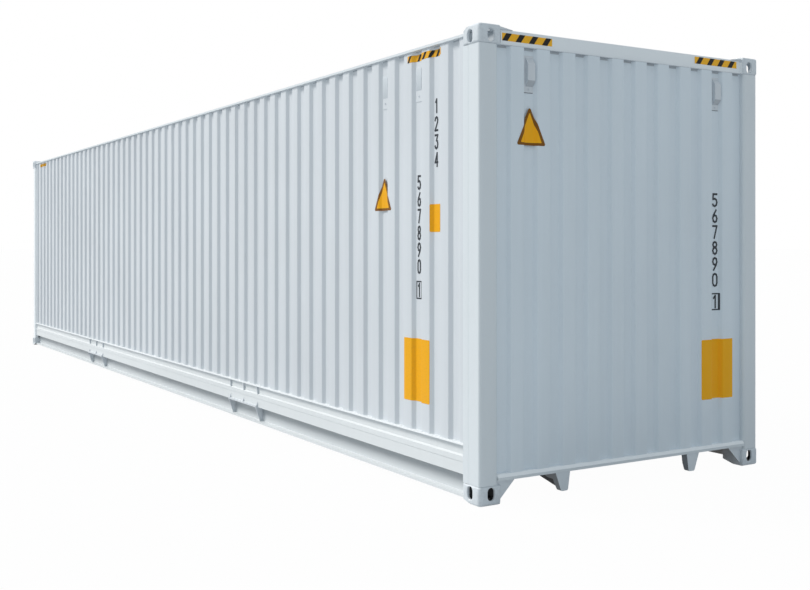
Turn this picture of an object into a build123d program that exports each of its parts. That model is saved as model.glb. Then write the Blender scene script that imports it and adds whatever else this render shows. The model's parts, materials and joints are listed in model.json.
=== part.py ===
from build123d import *
import os

# Shipping container, forty feet long and high cube.
# Millimetres. +X is the blind front end, -X the door end, -Y the right long side, +Z up.
# The origin is on the ground under the middle of the container.

# Overall size
container_length = 12192
container_width = 2438
container_height = 2896

# Corner fittings
fitting_length = 178
fitting_width = 162
fitting_height = 118
fitting_wall = 16
fitting_plate = 28.5
fitting_lid = 10
fitting_round = 14
foot_end_chamfer = 12
foot_end_rise = 30
foot_flank_chamfer = 11
foot_flank_rise = 40
slot_length = 124.5
slot_width = 63.5
slot_from_end = 101.5
slot_from_side = 89
hole_height = 79.5
hole_width = 51
hole_side_count = 12

# Corner posts
post_inset = 6
post_steel = 6
post_bend = 20
front_post_face = 140.5
rear_post_face = 49
rear_jamb_depth = 90

# Top frame
top_drop = 40
top_rail_size = 60
top_rail_steel = 3
top_rail_lip_inset = 10
top_rail_lip_height = 16
header_drop = 24
header_inset = 10
header_depth = 60
header_steel = 4
guard_length = 98
guard_drop = 8

# Corrugated side walls
side_pitch = 218.5
side_ridge = 92
side_slope = 28
side_depth = 22
side_steel = 2
side_wall_inset = 22
side_margin = 64.5

# Corrugated front wall
end_pitch = 205
end_ridge = 98
end_slope = 18
end_depth = 28
end_steel = 2
end_wall_inset = 8

# Corrugated roof
roof_pitch = 209
roof_ridge = 91
roof_slope = 14
roof_depth = 20
roof_steel = 2
roof_below_rail = 4

# Bottom side rails
rail_steel = 5
rail_ledge_height = 352
rail_ledge_inset = 10
rail_ledge_depth = 60
rail_neck_inset = 33
rail_neck_height = 279
rail_brow_inset = 21
rail_brow_height = 270
rail_lap_height = 236
rail_lap_step = 3
rail_face_foot = 160
rail_web_inset = 70
rail_web_foot = 38
rail_foot_inset = 22
rail_foot_fall = 4
rail_bottom = 20

# Lift pockets in the bottom side rails
pocket_half_spacing = 2438
pocket_length = 620
pocket_lip_steel = 14
pocket_lip_inset = 2
pocket_plate = 8
pocket_rib_height = 36
pocket_rib_setback = 3

# Front sill, feet beside the tunnel and corner gussets
sill_top = 178
sill_height = 36
sill_depth = 75
sill_inset = 1
sill_steel = 4
sill_bevel_height = 18
gusset_reach = 122
gusset_inset = 16
gusset_plate = 8
gusset_foot = 20
foot_top_width = 117
foot_bottom_width = 54
foot_inner_taper = 18
foot_bottom = 22
foot_plate = 6
foot_round = 14
foot_inner_depth = 51
foot_haunch_depth = 167
foot_haunch_edge = 17
foot_haunch_bottom = 72
foot_leg_depth = 40

# Floor and underframe
floor_thickness = 28
crossmember_height = 122
crossmember_flange = 45
crossmember_steel = 4
crossmember_pitch = 300
first_crossmember = 450
tunnel_width = 1029
tunnel_length = 3300
tunnel_plate = 5
tunnel_beam_steel = 6

# Door end
door_face_inset = 48
rear_frame_depth = 90
rear_frame_steel = 6
door_sill_top = 165
door_sill_bottom = 25
door_header_height = 132
door_gap = 8
door_frame_width = 100
door_frame_depth = 50
door_panel_inset = 6
door_panel_steel = 2
door_band_pitch = 480
door_band_ridge = 240
door_band_slope = 36
door_band_depth = 36
gasket_inset = 10
gasket_depth = 24
rod_diameter = 34
rod_clearance = 4
rod_from_edge = 250
rod_from_middle = 180
rod_overrun = 72
rod_side_count = 12
cam_width = 64
cam_depth = 22
cam_height = 24
bearing_height = 60
bearing_width = 90
bearing_wall = 5
bearing_play = 1
bearing_spread = 8
bearing_slant = 10
bearing_below_ridge = 70
keeper_height = 34
keeper_width = 80
handle_above_ridge = 80
handle_length = 330
handle_width = 34
handle_steel = 8
handle_hub = 50
catch_width = 30
catch_from_end = 40
catch_overlap = 10
hinge_count = 4
hinge_height = 150
hinge_end_margin = 230
hinge_knuckle = 34
hinge_lug_height = 36
hinge_blade_reach = 86
hinge_blade_steel = 8
hinge_play = 0.5
hinge_round = 10

# Sides of the outlines that stand for small round forms on the doors
hardware_side_count = 8

# Ventilators
vent_width = 60
vent_front_depth = 38
vent_side_depth = 8
vent_face_height = 117
vent_top_slope = 38
vent_under_slope = 35
vent_plate_width = 70
vent_plate_height = 227
vent_plate_steel = 3
vent_below_header = 43
vent_front_recess_count = 2
vent_side_recess_counts = (3, 5)

# Places worked out from the sizes above
half_length = container_length / 2
half_width = container_width / 2
post_bottom = fitting_height
post_top = container_height - fitting_height
rail_end = half_length - fitting_length
rail_top = container_height - top_drop
header_top = container_height - header_drop
header_face = half_length - header_inset
header_back = header_face - header_depth
door_header_bottom = header_top - door_header_height
sill_bottom = sill_top - sill_height
floor_bottom = sill_top - floor_thickness
front_face = half_length - post_inset
wall_edge = half_width - front_post_face
side_wall_face = -half_width + side_wall_inset
front_wall_face = front_face - end_wall_inset
web_back = half_width - rail_web_inset - rail_steel
fitting_inner_y = half_width - fitting_width
door_face = -half_length + door_face_inset
rear_jamb = half_width - rear_post_face
tunnel_half = tunnel_width / 2
top_tube_inset = side_wall_inset + side_depth + side_steel
top_rail_back = half_width - top_tube_inset - top_rail_size

os.makedirs("parts", exist_ok=True)


def write(piece, name):
    """Label a finished piece and write its file."""
    piece.label = name
    export_step(piece, f"parts/{name}.step")


def write_both_sides(piece, name):
    """Write a right-hand piece and its mirror image on the left side."""
    write(piece, f"{name}_right")
    write(mirror(piece, about=Plane.XZ), f"{name}_left")


def ridge_count(length, pitch, ridge, slope):
    """How many ridges of a trapezoid wave fit on a sheet."""
    return int((length + pitch - ridge - 2 * slope) // pitch)


def sheet_wave(start, end, pitch, ridge, slope, depth):
    """Points of a trapezoid wave from start to end, ridges at 0, centred, troughs at depth."""
    count = ridge_count(end - start, pitch, ridge, slope)
    points = [(start, depth)]
    for number in range(count):
        centre = (start + end) / 2 + (number - (count - 1) / 2) * pitch
        points.append((centre - ridge / 2 - slope, depth))
        points.append((centre - ridge / 2, 0))
        points.append((centre + ridge / 2, 0))
        points.append((centre + ridge / 2 + slope, depth))
    points.append((end, depth))
    return points


def recess_offset(number, count, pitch):
    """Distance of a recess from the sheet's middle, recesses counted from one post."""
    return ((count - 1) / 2 + 1.5 - number) * pitch


# Corner fitting: a hollow casting with a slot in its ground face and a hole in each outer face
fitting_x = half_length - fitting_length / 2
fitting_y = -half_width + fitting_width / 2
hole_x = half_length - slot_from_end
hole_y = -half_width + slot_from_side
hole_z = fitting_plate + hole_height / 2
with BuildPart() as fitting:
    with BuildSketch(Plane.XY):
        with Locations((fitting_x, fitting_y)):
            Rectangle(fitting_length, fitting_width)
    extrude(amount=fitting_height)
    outer_corner = fitting.edges().filter_by(Axis.Z).sort_by(lambda e: e.center().X - e.center().Y)[-1]
    fillet(outer_corner, radius=fitting_round)
    with BuildSketch(Plane.XZ.offset(half_width)):
        with BuildLine():
            Polyline(
                (rail_end, 0),
                (rail_end + foot_end_chamfer, 0),
                (rail_end, foot_end_rise),
                close=True,
            )
        make_face()
    extrude(amount=-fitting_width, mode=Mode.SUBTRACT)
    with BuildSketch(Plane.YZ.offset(rail_end)):
        with BuildLine():
            Polyline(
                (-fitting_inner_y, 0),
                (-fitting_inner_y - foot_flank_chamfer, 0),
                (-fitting_inner_y, foot_flank_rise),
                close=True,
            )
        make_face()
    extrude(amount=fitting_length, mode=Mode.SUBTRACT)
    with BuildSketch(Plane.XY.offset(fitting_plate)):
        with Locations((fitting_x, fitting_y)):
            Rectangle(fitting_length - 2 * fitting_wall, fitting_width - 2 * fitting_wall)
    extrude(amount=fitting_height - fitting_plate - fitting_lid, mode=Mode.SUBTRACT)
    with BuildSketch(Plane.XY):
        with Locations((hole_x, hole_y)):
            SlotOverall(slot_length, slot_width)
    extrude(amount=fitting_plate, mode=Mode.SUBTRACT)
    for plane, across in ((Plane.YZ.offset(half_length), hole_y), (Plane.XZ.offset(half_width), hole_x)):
        with BuildSketch(plane):
            with Locations((across, hole_z)):
                Rectangle(hole_width, hole_height - hole_width)
            for end in (-1, 1):
                with Locations((across, hole_z + end * (hole_height - hole_width) / 2)):
                    RegularPolygon(hole_width / 2, hole_side_count)
        extrude(amount=-fitting_wall, mode=Mode.SUBTRACT)

top_fitting = mirror(fitting.part, about=Plane.XY.offset(container_height / 2))
write_both_sides(fitting.part, "fitting_front_bottom")
write_both_sides(top_fitting, "fitting_front_top")
write_both_sides(mirror(fitting.part, about=Plane.YZ), "fitting_rear_bottom")
write_both_sides(mirror(top_fitting, about=Plane.YZ), "fitting_rear_top")

# Front corner post: one folded section with a return lip for each wall
post_side = -half_width + post_inset
side_lip = side_wall_inset - post_inset + side_depth + side_steel + post_steel
end_lip = end_wall_inset + end_depth + end_steel + post_steel


def folded_post(face_end, jamb_side, lip_on_jamb):
    """A post folded from plate: corners rounded, open towards the cargo space, with two lips."""
    with BuildPart() as post:
        with BuildSketch(Plane.XY.offset(post_bottom)):
            with BuildLine():
                Polyline(
                    (rail_end, post_side),
                    (face_end, post_side),
                    (face_end, jamb_side),
                    (rail_end, jamb_side),
                    close=True,
                )
            make_face()
            folds = vertices().sort_by(lambda v: v.Y - v.X)
            fillet(folds[:3], radius=post_bend)
            with BuildLine():
                Polyline(
                    (rail_end + post_steel, post_side + post_steel),
                    (face_end - post_steel, post_side + post_steel),
                    (face_end - post_steel, jamb_side - post_steel),
                    (rail_end + post_steel, jamb_side - post_steel),
                    close=True,
                )
            make_face(mode=Mode.SUBTRACT)
            with BuildLine():
                Polyline(
                    (rail_end, post_side + side_lip),
                    (rail_end + post_steel, post_side + side_lip),
                    (rail_end + post_steel, jamb_side - post_steel),
                    (face_end - lip_on_jamb, jamb_side - post_steel),
                    (face_end - lip_on_jamb, jamb_side),
                    (rail_end, jamb_side),
                    close=True,
                )
            make_face(mode=Mode.SUBTRACT)
        extrude(amount=post_top - post_bottom)
    return post.part


write_both_sides(folded_post(front_face, -wall_edge, end_lip), "post_front")

# Rear corner post: the same section with a narrow face and a deep jamb beside the door
rear_post = mirror(folded_post(-door_face, -rear_jamb, rear_jamb_depth), about=Plane.YZ)
write_both_sides(rear_post, "post_rear")

# Bottom side rail: folded profile with a neck, a brow, a lap and an open foot, under a ledge plate
ledge_underside = rail_ledge_height - rail_steel
rail_outline = [
    (rail_web_inset, ledge_underside),
    (rail_neck_inset, ledge_underside),
    (rail_neck_inset, rail_neck_height),
    (rail_brow_inset, rail_brow_height),
    (rail_brow_inset, rail_lap_height),
    (rail_brow_inset + rail_lap_step, rail_lap_height - rail_lap_step),
    (rail_brow_inset + rail_lap_step, rail_face_foot),
    (rail_web_inset, rail_face_foot),
    (rail_web_inset, rail_web_foot),
    (rail_foot_inset, rail_web_foot - rail_foot_fall),
    (rail_foot_inset, rail_bottom),
]
with BuildPart() as bottom_rail:
    with BuildSketch(Plane.YZ.offset(-rail_end)):
        with BuildLine():
            Polyline([(-half_width + inset, height) for inset, height in rail_outline])
            offset(amount=rail_steel, side=Side.LEFT, kind=Kind.INTERSECTION)
        make_face()
        ledge_middle = -half_width + rail_ledge_inset + rail_ledge_depth / 2
        with Locations((ledge_middle, rail_ledge_height - rail_steel / 2)):
            Rectangle(rail_ledge_depth, rail_steel)
    extrude(amount=2 * rail_end)
write_both_sides(bottom_rail.part, "bottom_rail")

# Top side rail: a tube with a narrow lip that covers the wall's top edge
with BuildPart() as top_rail:
    with BuildSketch(Plane.YZ.offset(-rail_end)):
        with BuildLine():
            Polyline(
                (-half_width + top_rail_lip_inset, rail_top),
                (-half_width + top_rail_lip_inset, rail_top - top_rail_lip_height),
                (-half_width + top_tube_inset, rail_top - top_rail_lip_height),
                (-half_width + top_tube_inset, rail_top - top_rail_size),
                (-top_rail_back, rail_top - top_rail_size),
                (-top_rail_back, rail_top),
                close=True,
            )
        make_face()
        offset(amount=-top_rail_steel, kind=Kind.INTERSECTION, mode=Mode.SUBTRACT)
    extrude(amount=2 * rail_end)
write_both_sides(top_rail.part, "top_rail")

# Side wall: one corrugated sheet from the rail ledge to the top rail, a flat margin at each post
wave_end = rail_end - side_margin - side_slope
side_wave = sheet_wave(-wave_end, wave_end, side_pitch, side_ridge, side_slope, side_depth)
side_wave = [(-rail_end, 0), (side_margin - rail_end, 0)] + side_wave
side_wave = side_wave + [(rail_end - side_margin, 0), (rail_end, 0)]
with BuildPart() as side_wall:
    with BuildSketch(Plane.XY.offset(rail_ledge_height)):
        with BuildLine():
            Polyline([(x, side_wall_face + y) for x, y in side_wave])
            offset(amount=side_steel, side=Side.LEFT, kind=Kind.INTERSECTION)
        make_face()
    extrude(amount=rail_top - top_rail_lip_height - rail_ledge_height)
write_both_sides(side_wall.part, "side_wall")

# Front wall: deeper corrugations between the front posts
front_wave = sheet_wave(-wall_edge, wall_edge, end_pitch, end_ridge, end_slope, end_depth)
with BuildPart() as front_wall:
    with BuildSketch(Plane.XY.offset(sill_top)):
        with BuildLine():
            Polyline([(front_wall_face - x, y) for y, x in front_wave])
            offset(amount=end_steel, side=Side.LEFT, kind=Kind.INTERSECTION)
        make_face()
    extrude(amount=post_top - sill_top)
write(front_wall.part, "front_wall")

# Front header: a tube between the upper fittings, with its underside level with theirs
header_height = header_top - post_top
with BuildPart() as front_header:
    with BuildSketch(Plane.XZ.offset(-fitting_inner_y)):
        with Locations((header_face - header_depth / 2, post_top + header_height / 2)):
            Rectangle(header_depth, header_height)
        offset(amount=-header_steel, kind=Kind.INTERSECTION, mode=Mode.SUBTRACT)
    extrude(amount=2 * fitting_inner_y)
write(front_header.part, "front_header")

# Front sill: a low tube between the posts, bevelled up to the wall's ridges
with BuildPart() as front_sill:
    with BuildSketch(Plane.XZ.offset(-wall_edge)):
        with BuildLine():
            Polyline(
                (half_length - sill_inset, sill_bottom),
                (half_length - sill_inset, sill_top - sill_bevel_height),
                (front_wall_face, sill_top),
                (front_face - sill_depth, sill_top),
                (front_face - sill_depth, sill_bottom),
                close=True,
            )
        make_face()
        offset(amount=-sill_steel, kind=Kind.INTERSECTION, mode=Mode.SUBTRACT)
    extrude(amount=2 * wall_edge)
write(front_sill.part, "front_sill")

# Roof: one sheet with corrugations across the container, welded between the rails and headers
roof_start = door_face + rear_frame_depth
roof_wave = sheet_wave(roof_start, header_back, roof_pitch, roof_ridge, roof_slope, roof_depth)
with BuildPart() as roof:
    with BuildSketch(Plane.XZ.offset(-top_rail_back)):
        with BuildLine():
            Polyline([(x, rail_top - roof_below_rail - z) for x, z in roof_wave])
            offset(amount=roof_steel, side=Side.RIGHT, kind=Kind.INTERSECTION)
        make_face()
    extrude(amount=2 * top_rail_back)
    with BuildSketch(Plane.XY.offset(post_top)):
        for end in (1, -1):
            for side in (1, -1):
                with Locations((end * half_length, side * half_width)):
                    Rectangle(2 * fitting_length, 2 * fitting_width)
    extrude(amount=fitting_height, mode=Mode.SUBTRACT)
write(roof.part, "roof")

# Rear header: box frame over the doors, standing on the fittings' level and notched between them
with BuildPart() as rear_header:
    with BuildSketch(Plane.YZ.offset(door_face)):
        with BuildLine():
            Polyline(
                (-rear_jamb, door_header_bottom),
                (rear_jamb, door_header_bottom),
                (rear_jamb, post_top),
                (fitting_inner_y, post_top),
                (fitting_inner_y, header_top),
                (-fitting_inner_y, header_top),
                (-fitting_inner_y, post_top),
                (-rear_jamb, post_top),
                close=True,
            )
        make_face()
    extrude(amount=rear_frame_depth)
    with BuildSketch(Plane.YZ.offset(door_face + rear_frame_steel)):
        with Locations((0, (door_header_bottom + header_top) / 2)):
            Rectangle(
                2 * (fitting_inner_y - rear_frame_steel),
                door_header_height - 2 * rear_frame_steel,
            )
    extrude(amount=rear_frame_depth - 2 * rear_frame_steel, mode=Mode.SUBTRACT)
write(rear_header.part, "rear_header")

# Door sill: the same frame turned over, under the doors
with BuildPart() as door_sill:
    with BuildSketch(Plane.YZ.offset(door_face)):
        with BuildLine():
            Polyline(
                (-fitting_inner_y, door_sill_bottom),
                (fitting_inner_y, door_sill_bottom),
                (fitting_inner_y, post_bottom),
                (rear_jamb, post_bottom),
                (rear_jamb, door_sill_top),
                (-rear_jamb, door_sill_top),
                (-rear_jamb, post_bottom),
                (-fitting_inner_y, post_bottom),
                close=True,
            )
        make_face()
    extrude(amount=rear_frame_depth)
    with BuildSketch(Plane.YZ.offset(door_face + rear_frame_steel)):
        with Locations((0, (door_sill_bottom + door_sill_top) / 2)):
            Rectangle(
                2 * (fitting_inner_y - rear_frame_steel),
                door_sill_top - door_sill_bottom - 2 * rear_frame_steel,
            )
    extrude(amount=rear_frame_depth - 2 * rear_frame_steel, mode=Mode.SUBTRACT)
write(door_sill.part, "door_sill")

# Floor boards on the underframe
floor_start = door_face + rear_frame_depth
floor_end = front_face - sill_depth
with BuildPart() as floor_boards:
    with BuildSketch(Plane.XY.offset(floor_bottom)):
        with Locations(((floor_start + floor_end) / 2, 0)):
            Rectangle(floor_end - floor_start, 2 * web_back)
    extrude(amount=floor_thickness)
write(floor_boards.part, "floor_boards")


def channel(length, at_x, from_y):
    """A crossmember: an open channel section lying across the container."""
    with BuildPart() as member:
        with BuildSketch(Plane.XZ.offset(-from_y)):
            with BuildLine():
                Polyline(
                    (at_x, floor_bottom),
                    (at_x + crossmember_flange, floor_bottom),
                    (at_x + crossmember_flange, floor_bottom - crossmember_steel),
                    (at_x + crossmember_steel, floor_bottom - crossmember_steel),
                    (at_x + crossmember_steel, floor_bottom - crossmember_height + crossmember_steel),
                    (at_x + crossmember_flange, floor_bottom - crossmember_height + crossmember_steel),
                    (at_x + crossmember_flange, floor_bottom - crossmember_height),
                    (at_x, floor_bottom - crossmember_height),
                    close=True,
                )
            make_face()
        extrude(amount=length)
    return member.part


# Crossmembers behind the gooseneck tunnel, from rail web to rail web
tunnel_rear = floor_end - tunnel_length
behind_tunnel = int((tunnel_rear - crossmember_flange - floor_start) // crossmember_pitch)
member_places = [tunnel_rear - number * crossmember_pitch for number in range(1, behind_tunnel + 1)]
with BuildPart() as crossmembers:
    for place in member_places:
        add(channel(2 * web_back, place - crossmember_flange, web_back))
write(crossmembers.part, "crossmembers")

# Tunnel top plate under the floor
with BuildPart() as tunnel_top:
    with BuildSketch(Plane.XY.offset(floor_bottom)):
        with Locations(((tunnel_rear + floor_end) / 2, 0)):
            Rectangle(floor_end - tunnel_rear, tunnel_width)
    extrude(amount=-tunnel_plate)
write(tunnel_top.part, "tunnel_plate")

# Tunnel side: a beam with short outriggers welded to it, reaching to the rail web
beam_front = floor_end - first_crossmember
outrigger_count = int((beam_front - tunnel_rear) // crossmember_pitch) + 1
outrigger_reach = web_back - tunnel_half - tunnel_beam_steel
with BuildPart() as tunnel_side:
    with BuildSketch(Plane.YZ.offset(tunnel_rear)):
        with Locations((tunnel_half + tunnel_beam_steel / 2, floor_bottom - crossmember_height / 2)):
            Rectangle(tunnel_beam_steel, crossmember_height)
    extrude(amount=beam_front - tunnel_rear)
    for number in range(outrigger_count):
        place = beam_front - crossmember_flange - number * crossmember_pitch
        add(channel(outrigger_reach, place, web_back))
write(tunnel_side.part, "tunnel_side_left")
write(mirror(tunnel_side.part, about=Plane.XZ), "tunnel_side_right")

# Foot beside the tunnel mouth: a folded plate, its outer side running back into a haunch
foot_outer = -tunnel_half - foot_top_width
foot_inner_low = -tunnel_half - foot_inner_taper
foot_outer_low = foot_inner_low - foot_bottom_width
foot_face = [
    (foot_outer, sill_bottom),
    (-tunnel_half, sill_bottom),
    (foot_inner_low, foot_bottom),
    (foot_outer_low, foot_bottom),
]
with BuildPart() as foot:
    with BuildSketch(Plane.YZ.offset(front_face)):
        with BuildLine():
            Polyline(foot_face, close=True)
        make_face()
        fillet(vertices().group_by(Axis.Y)[0], radius=foot_round)
    extrude(amount=-foot_haunch_depth)
    with BuildSketch(Plane.YZ.offset(front_face - foot_plate)):
        with BuildLine():
            Polyline(foot_face, close=True)
        make_face()
        offset(amount=-foot_plate, kind=Kind.INTERSECTION)
        fillet(vertices().group_by(Axis.Y)[0], radius=foot_round - foot_plate)
    extrude(amount=-foot_haunch_depth, mode=Mode.SUBTRACT)
    with BuildSketch(Plane.XZ.offset(-foot_outer)):
        with BuildLine():
            Polyline(
                (front_face, sill_bottom),
                (front_face - foot_haunch_depth, sill_bottom),
                (front_face - foot_haunch_depth, sill_bottom - foot_haunch_edge),
                (front_face - foot_inner_depth, foot_haunch_bottom),
                (front_face - foot_leg_depth, foot_bottom),
                (front_face, foot_bottom),
                close=True,
            )
        make_face()
    extrude(amount=-foot_top_width, mode=Mode.INTERSECT)
    with BuildSketch(Plane.XY.offset(foot_bottom)):
        with Locations((front_face - foot_inner_depth, -tunnel_half)):
            Rectangle(foot_haunch_depth, foot_top_width - foot_inner_taper, align=(Align.MAX, Align.MAX))
    extrude(amount=sill_bottom - foot_bottom, mode=Mode.SUBTRACT)
write_both_sides(foot.part, "tunnel_foot")

# Gusset on a lower fitting: a triangle up to the sill, with a tab that reaches the post
with BuildPart() as gusset:
    with BuildSketch(Plane.YZ.offset(front_face - gusset_inset)):
        with BuildLine():
            Polyline(
                (-wall_edge, sill_bottom),
                (-fitting_inner_y + gusset_reach, sill_bottom),
                (-fitting_inner_y, gusset_foot),
                (-fitting_inner_y, post_bottom),
                (-wall_edge, post_bottom),
                close=True,
            )
        make_face()
    extrude(amount=-gusset_plate)
write_both_sides(gusset.part, "corner_gusset")

# Lift pocket plates on the bottom rail: a lip with ribs over it and an end plate at each side
lip_back = rail_brow_inset + rail_lap_step
lip_top = rail_face_foot + pocket_lip_steel
rib_inset = pocket_lip_inset + pocket_plate
end_plate_foot_inset = (rail_web_inset + rail_foot_inset) / 2
end_plate_foot_height = rail_web_foot - rail_foot_fall / 2
rib_places = [-pocket_length / 2, -pocket_plate / 2, pocket_length / 2 - pocket_plate]
lip_outline = [
    (pocket_lip_inset, rail_face_foot),
    (lip_back, rail_face_foot),
    (lip_back, lip_top),
    (pocket_lip_inset, lip_top),
]
lip_rib_outline = [
    (rib_inset, lip_top),
    (lip_back, lip_top),
    (lip_back, lip_top + pocket_rib_height),
]
neck_rib_outline = [
    (rail_ledge_inset + pocket_rib_setback, ledge_underside),
    (rail_neck_inset, ledge_underside),
    (rail_neck_inset, rail_neck_height),
    (rail_brow_inset, rail_brow_height),
]
end_plate_outline = [
    (pocket_lip_inset, rail_face_foot),
    (rail_web_inset, rail_face_foot),
    (rail_web_inset, rail_web_foot),
    (end_plate_foot_inset, end_plate_foot_height),
]
rail_plates = [(lip_outline, -pocket_length / 2, pocket_length)]
rail_plates += [(lip_rib_outline, place, pocket_plate) for place in rib_places]
rail_plates += [(neck_rib_outline, place, pocket_plate) for place in rib_places]
rail_plates += [(end_plate_outline, place, pocket_plate) for place in (rib_places[0], rib_places[-1])]
with BuildPart() as pockets:
    for middle in (-pocket_half_spacing, pocket_half_spacing):
        for plate_outline, start, length in rail_plates:
            with BuildSketch(Plane.YZ.offset(middle + start)):
                with BuildLine():
                    Polyline([(-half_width + inset, height) for inset, height in plate_outline], close=True)
                make_face()
            extrude(amount=length)
write_both_sides(pockets.part, "lift_pockets")

# Sloping guards from the upper fittings down to the headers
guard_top = container_height - guard_drop
with BuildPart() as corner_guards:
    for back, depth in ((header_back, header_depth), (door_face, rear_frame_depth)):
        with BuildSketch(Plane.YZ.offset(back)):
            with BuildLine():
                Polyline(
                    (-fitting_inner_y, header_top),
                    (-fitting_inner_y, guard_top),
                    (-fitting_inner_y + guard_length, header_top),
                    close=True,
                )
            make_face()
        extrude(amount=depth)
    mirror(about=Plane.XZ)
write(corner_guards.part, "roof_corner_guards")

# Ventilator covers standing in recesses of the walls
vent_top = post_top - vent_below_header


def ventilator(plane, depth):
    """A hooded cover on a back plate, sloped above and below, out along the plane's Z."""
    with BuildPart() as vent:
        with BuildSketch(plane):
            with Locations((0, -vent_plate_height / 2)):
                Rectangle(vent_plate_width, vent_plate_height)
        extrude(amount=vent_plate_steel)
        side_plane = Plane(origin=plane.origin, x_dir=plane.z_dir, z_dir=-plane.x_dir)
        with BuildSketch(side_plane.offset(-vent_width / 2)):
            with BuildLine():
                Polyline(
                    (vent_plate_steel, 0),
                    (depth, -vent_top_slope),
                    (depth, -vent_top_slope - vent_face_height),
                    (vent_plate_steel, -vent_top_slope - vent_face_height - vent_under_slope),
                    close=True,
                )
            make_face()
        extrude(amount=vent_width)
    return vent.part


front_ridges = ridge_count(2 * wall_edge, end_pitch, end_ridge, end_slope)
front_vent_y = -recess_offset(vent_front_recess_count, front_ridges, end_pitch)
front_vent_origin = (front_wall_face - end_depth, front_vent_y, vent_top)
side_ridges = ridge_count(2 * wave_end, side_pitch, side_ridge, side_slope)
with BuildPart() as vents:
    front_vent_plane = Plane(origin=front_vent_origin, x_dir=(0, 1, 0), z_dir=(1, 0, 0))
    add(ventilator(front_vent_plane, vent_front_depth))
    for end in (1, -1):
        for number in vent_side_recess_counts:
            side_vent_x = end * recess_offset(number, side_ridges, side_pitch)
            side_vent_origin = (side_vent_x, side_wall_face + side_depth, vent_top)
            side_vent_plane = Plane(origin=side_vent_origin, x_dir=(1, 0, 0), z_dir=(0, -1, 0))
            add(ventilator(side_vent_plane, vent_side_depth))
    mirror(about=Plane.XZ)
write(vents.part, "ventilators")

# Door leaf: a frame of tube outline with a sheet of level bands welded in it
leaf_outer = -rear_jamb + door_gap
leaf_inner = -door_gap / 2
leaf_bottom = door_sill_top + door_gap
leaf_top = door_header_bottom - door_gap
leaf_middle = (leaf_outer + leaf_inner) / 2
leaf_width = leaf_inner - leaf_outer
leaf_height = leaf_top - leaf_bottom
panel_bottom = leaf_bottom + door_frame_width
panel_top = leaf_top - door_frame_width
panel_face = door_face + door_panel_inset
door_wave = sheet_wave(
    panel_bottom, panel_top, door_band_pitch, door_band_ridge, door_band_slope, door_band_depth
)
with BuildPart() as door_leaf:
    with BuildSketch(Plane.YZ.offset(door_face)):
        with Locations((leaf_middle, (leaf_bottom + leaf_top) / 2)):
            Rectangle(leaf_width, leaf_height)
            Rectangle(
                leaf_width - 2 * door_frame_width,
                leaf_height - 2 * door_frame_width,
                mode=Mode.SUBTRACT,
            )
    extrude(amount=door_frame_depth)
    with BuildSketch(Plane.XZ.offset(-leaf_inner + door_frame_width)):
        with BuildLine():
            Polyline([(panel_face + x, z) for z, x in door_wave])
            offset(amount=door_panel_steel, side=Side.RIGHT, kind=Kind.INTERSECTION)
        make_face()
    extrude(amount=leaf_width - 2 * door_frame_width)
write_both_sides(door_leaf.part, "door_leaf")

# Door gasket: a strip that fills the gap round both leaves and between them
with BuildPart() as gasket:
    with BuildSketch(Plane.YZ.offset(door_face + gasket_inset)):
        with Locations((0, (door_sill_top + door_header_bottom) / 2)):
            Rectangle(2 * rear_jamb, door_header_bottom - door_sill_top)
        for side in (1, -1):
            with Locations((side * leaf_middle, (leaf_bottom + leaf_top) / 2)):
                Rectangle(leaf_width, leaf_height, mode=Mode.SUBTRACT)
    extrude(amount=gasket_depth)
write(gasket.part, "door_gasket")

# Lock rods: two bars on each leaf with a cam near each end, in front of the sill and header
rod_x = door_face - rod_clearance - rod_diameter / 2
rod_places = [leaf_outer + rod_from_edge, leaf_inner - rod_from_middle]
rod_places = rod_places + [-place for place in rod_places]
rod_bottom = door_sill_top - rod_overrun
rod_top = door_header_bottom + rod_overrun
cam_levels = [rod_bottom + keeper_height + cam_height / 2, rod_top - keeper_height - cam_height / 2]
with BuildPart() as lock_rods:
    for place in rod_places:
        with BuildSketch(Plane.XY.offset(rod_bottom)):
            with Locations((rod_x, place)):
                RegularPolygon(rod_diameter / 2, rod_side_count)
        extrude(amount=rod_top - rod_bottom)
        for level in cam_levels:
            with BuildSketch(Plane.XY.offset(level - cam_height / 2)):
                with Locations((rod_x, place)):
                    Rectangle(cam_depth, cam_width)
            extrude(amount=cam_height)
write(lock_rods.part, "lock_rods")


def rod_bracket(place, level, seat, height, width):
    """A strip folded over a lock rod, its legs slanted, with two flanges on the surface behind it."""
    bore = rod_diameter / 2 + bearing_play
    leg = bore + bearing_spread
    bridge = leg - bearing_slant
    front = rod_x - bore - bearing_wall
    with BuildPart() as bracket:
        with BuildSketch(Plane.XY.offset(level - height / 2)):
            with BuildLine():
                Polyline(
                    (seat, place - width / 2),
                    (seat, place - leg),
                    (rod_x - bore, place - bridge),
                    (rod_x - bore, place + bridge),
                    (seat, place + leg),
                    (seat, place + width / 2),
                    (seat - bearing_wall, place + width / 2),
                    (seat - bearing_wall, place + leg + bearing_wall),
                    (front, place + bridge + bearing_wall),
                    (front, place - bridge - bearing_wall),
                    (seat - bearing_wall, place - leg - bearing_wall),
                    (seat - bearing_wall, place - width / 2),
                    close=True,
                )
            make_face()
        extrude(amount=height)
    return bracket.part


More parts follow.
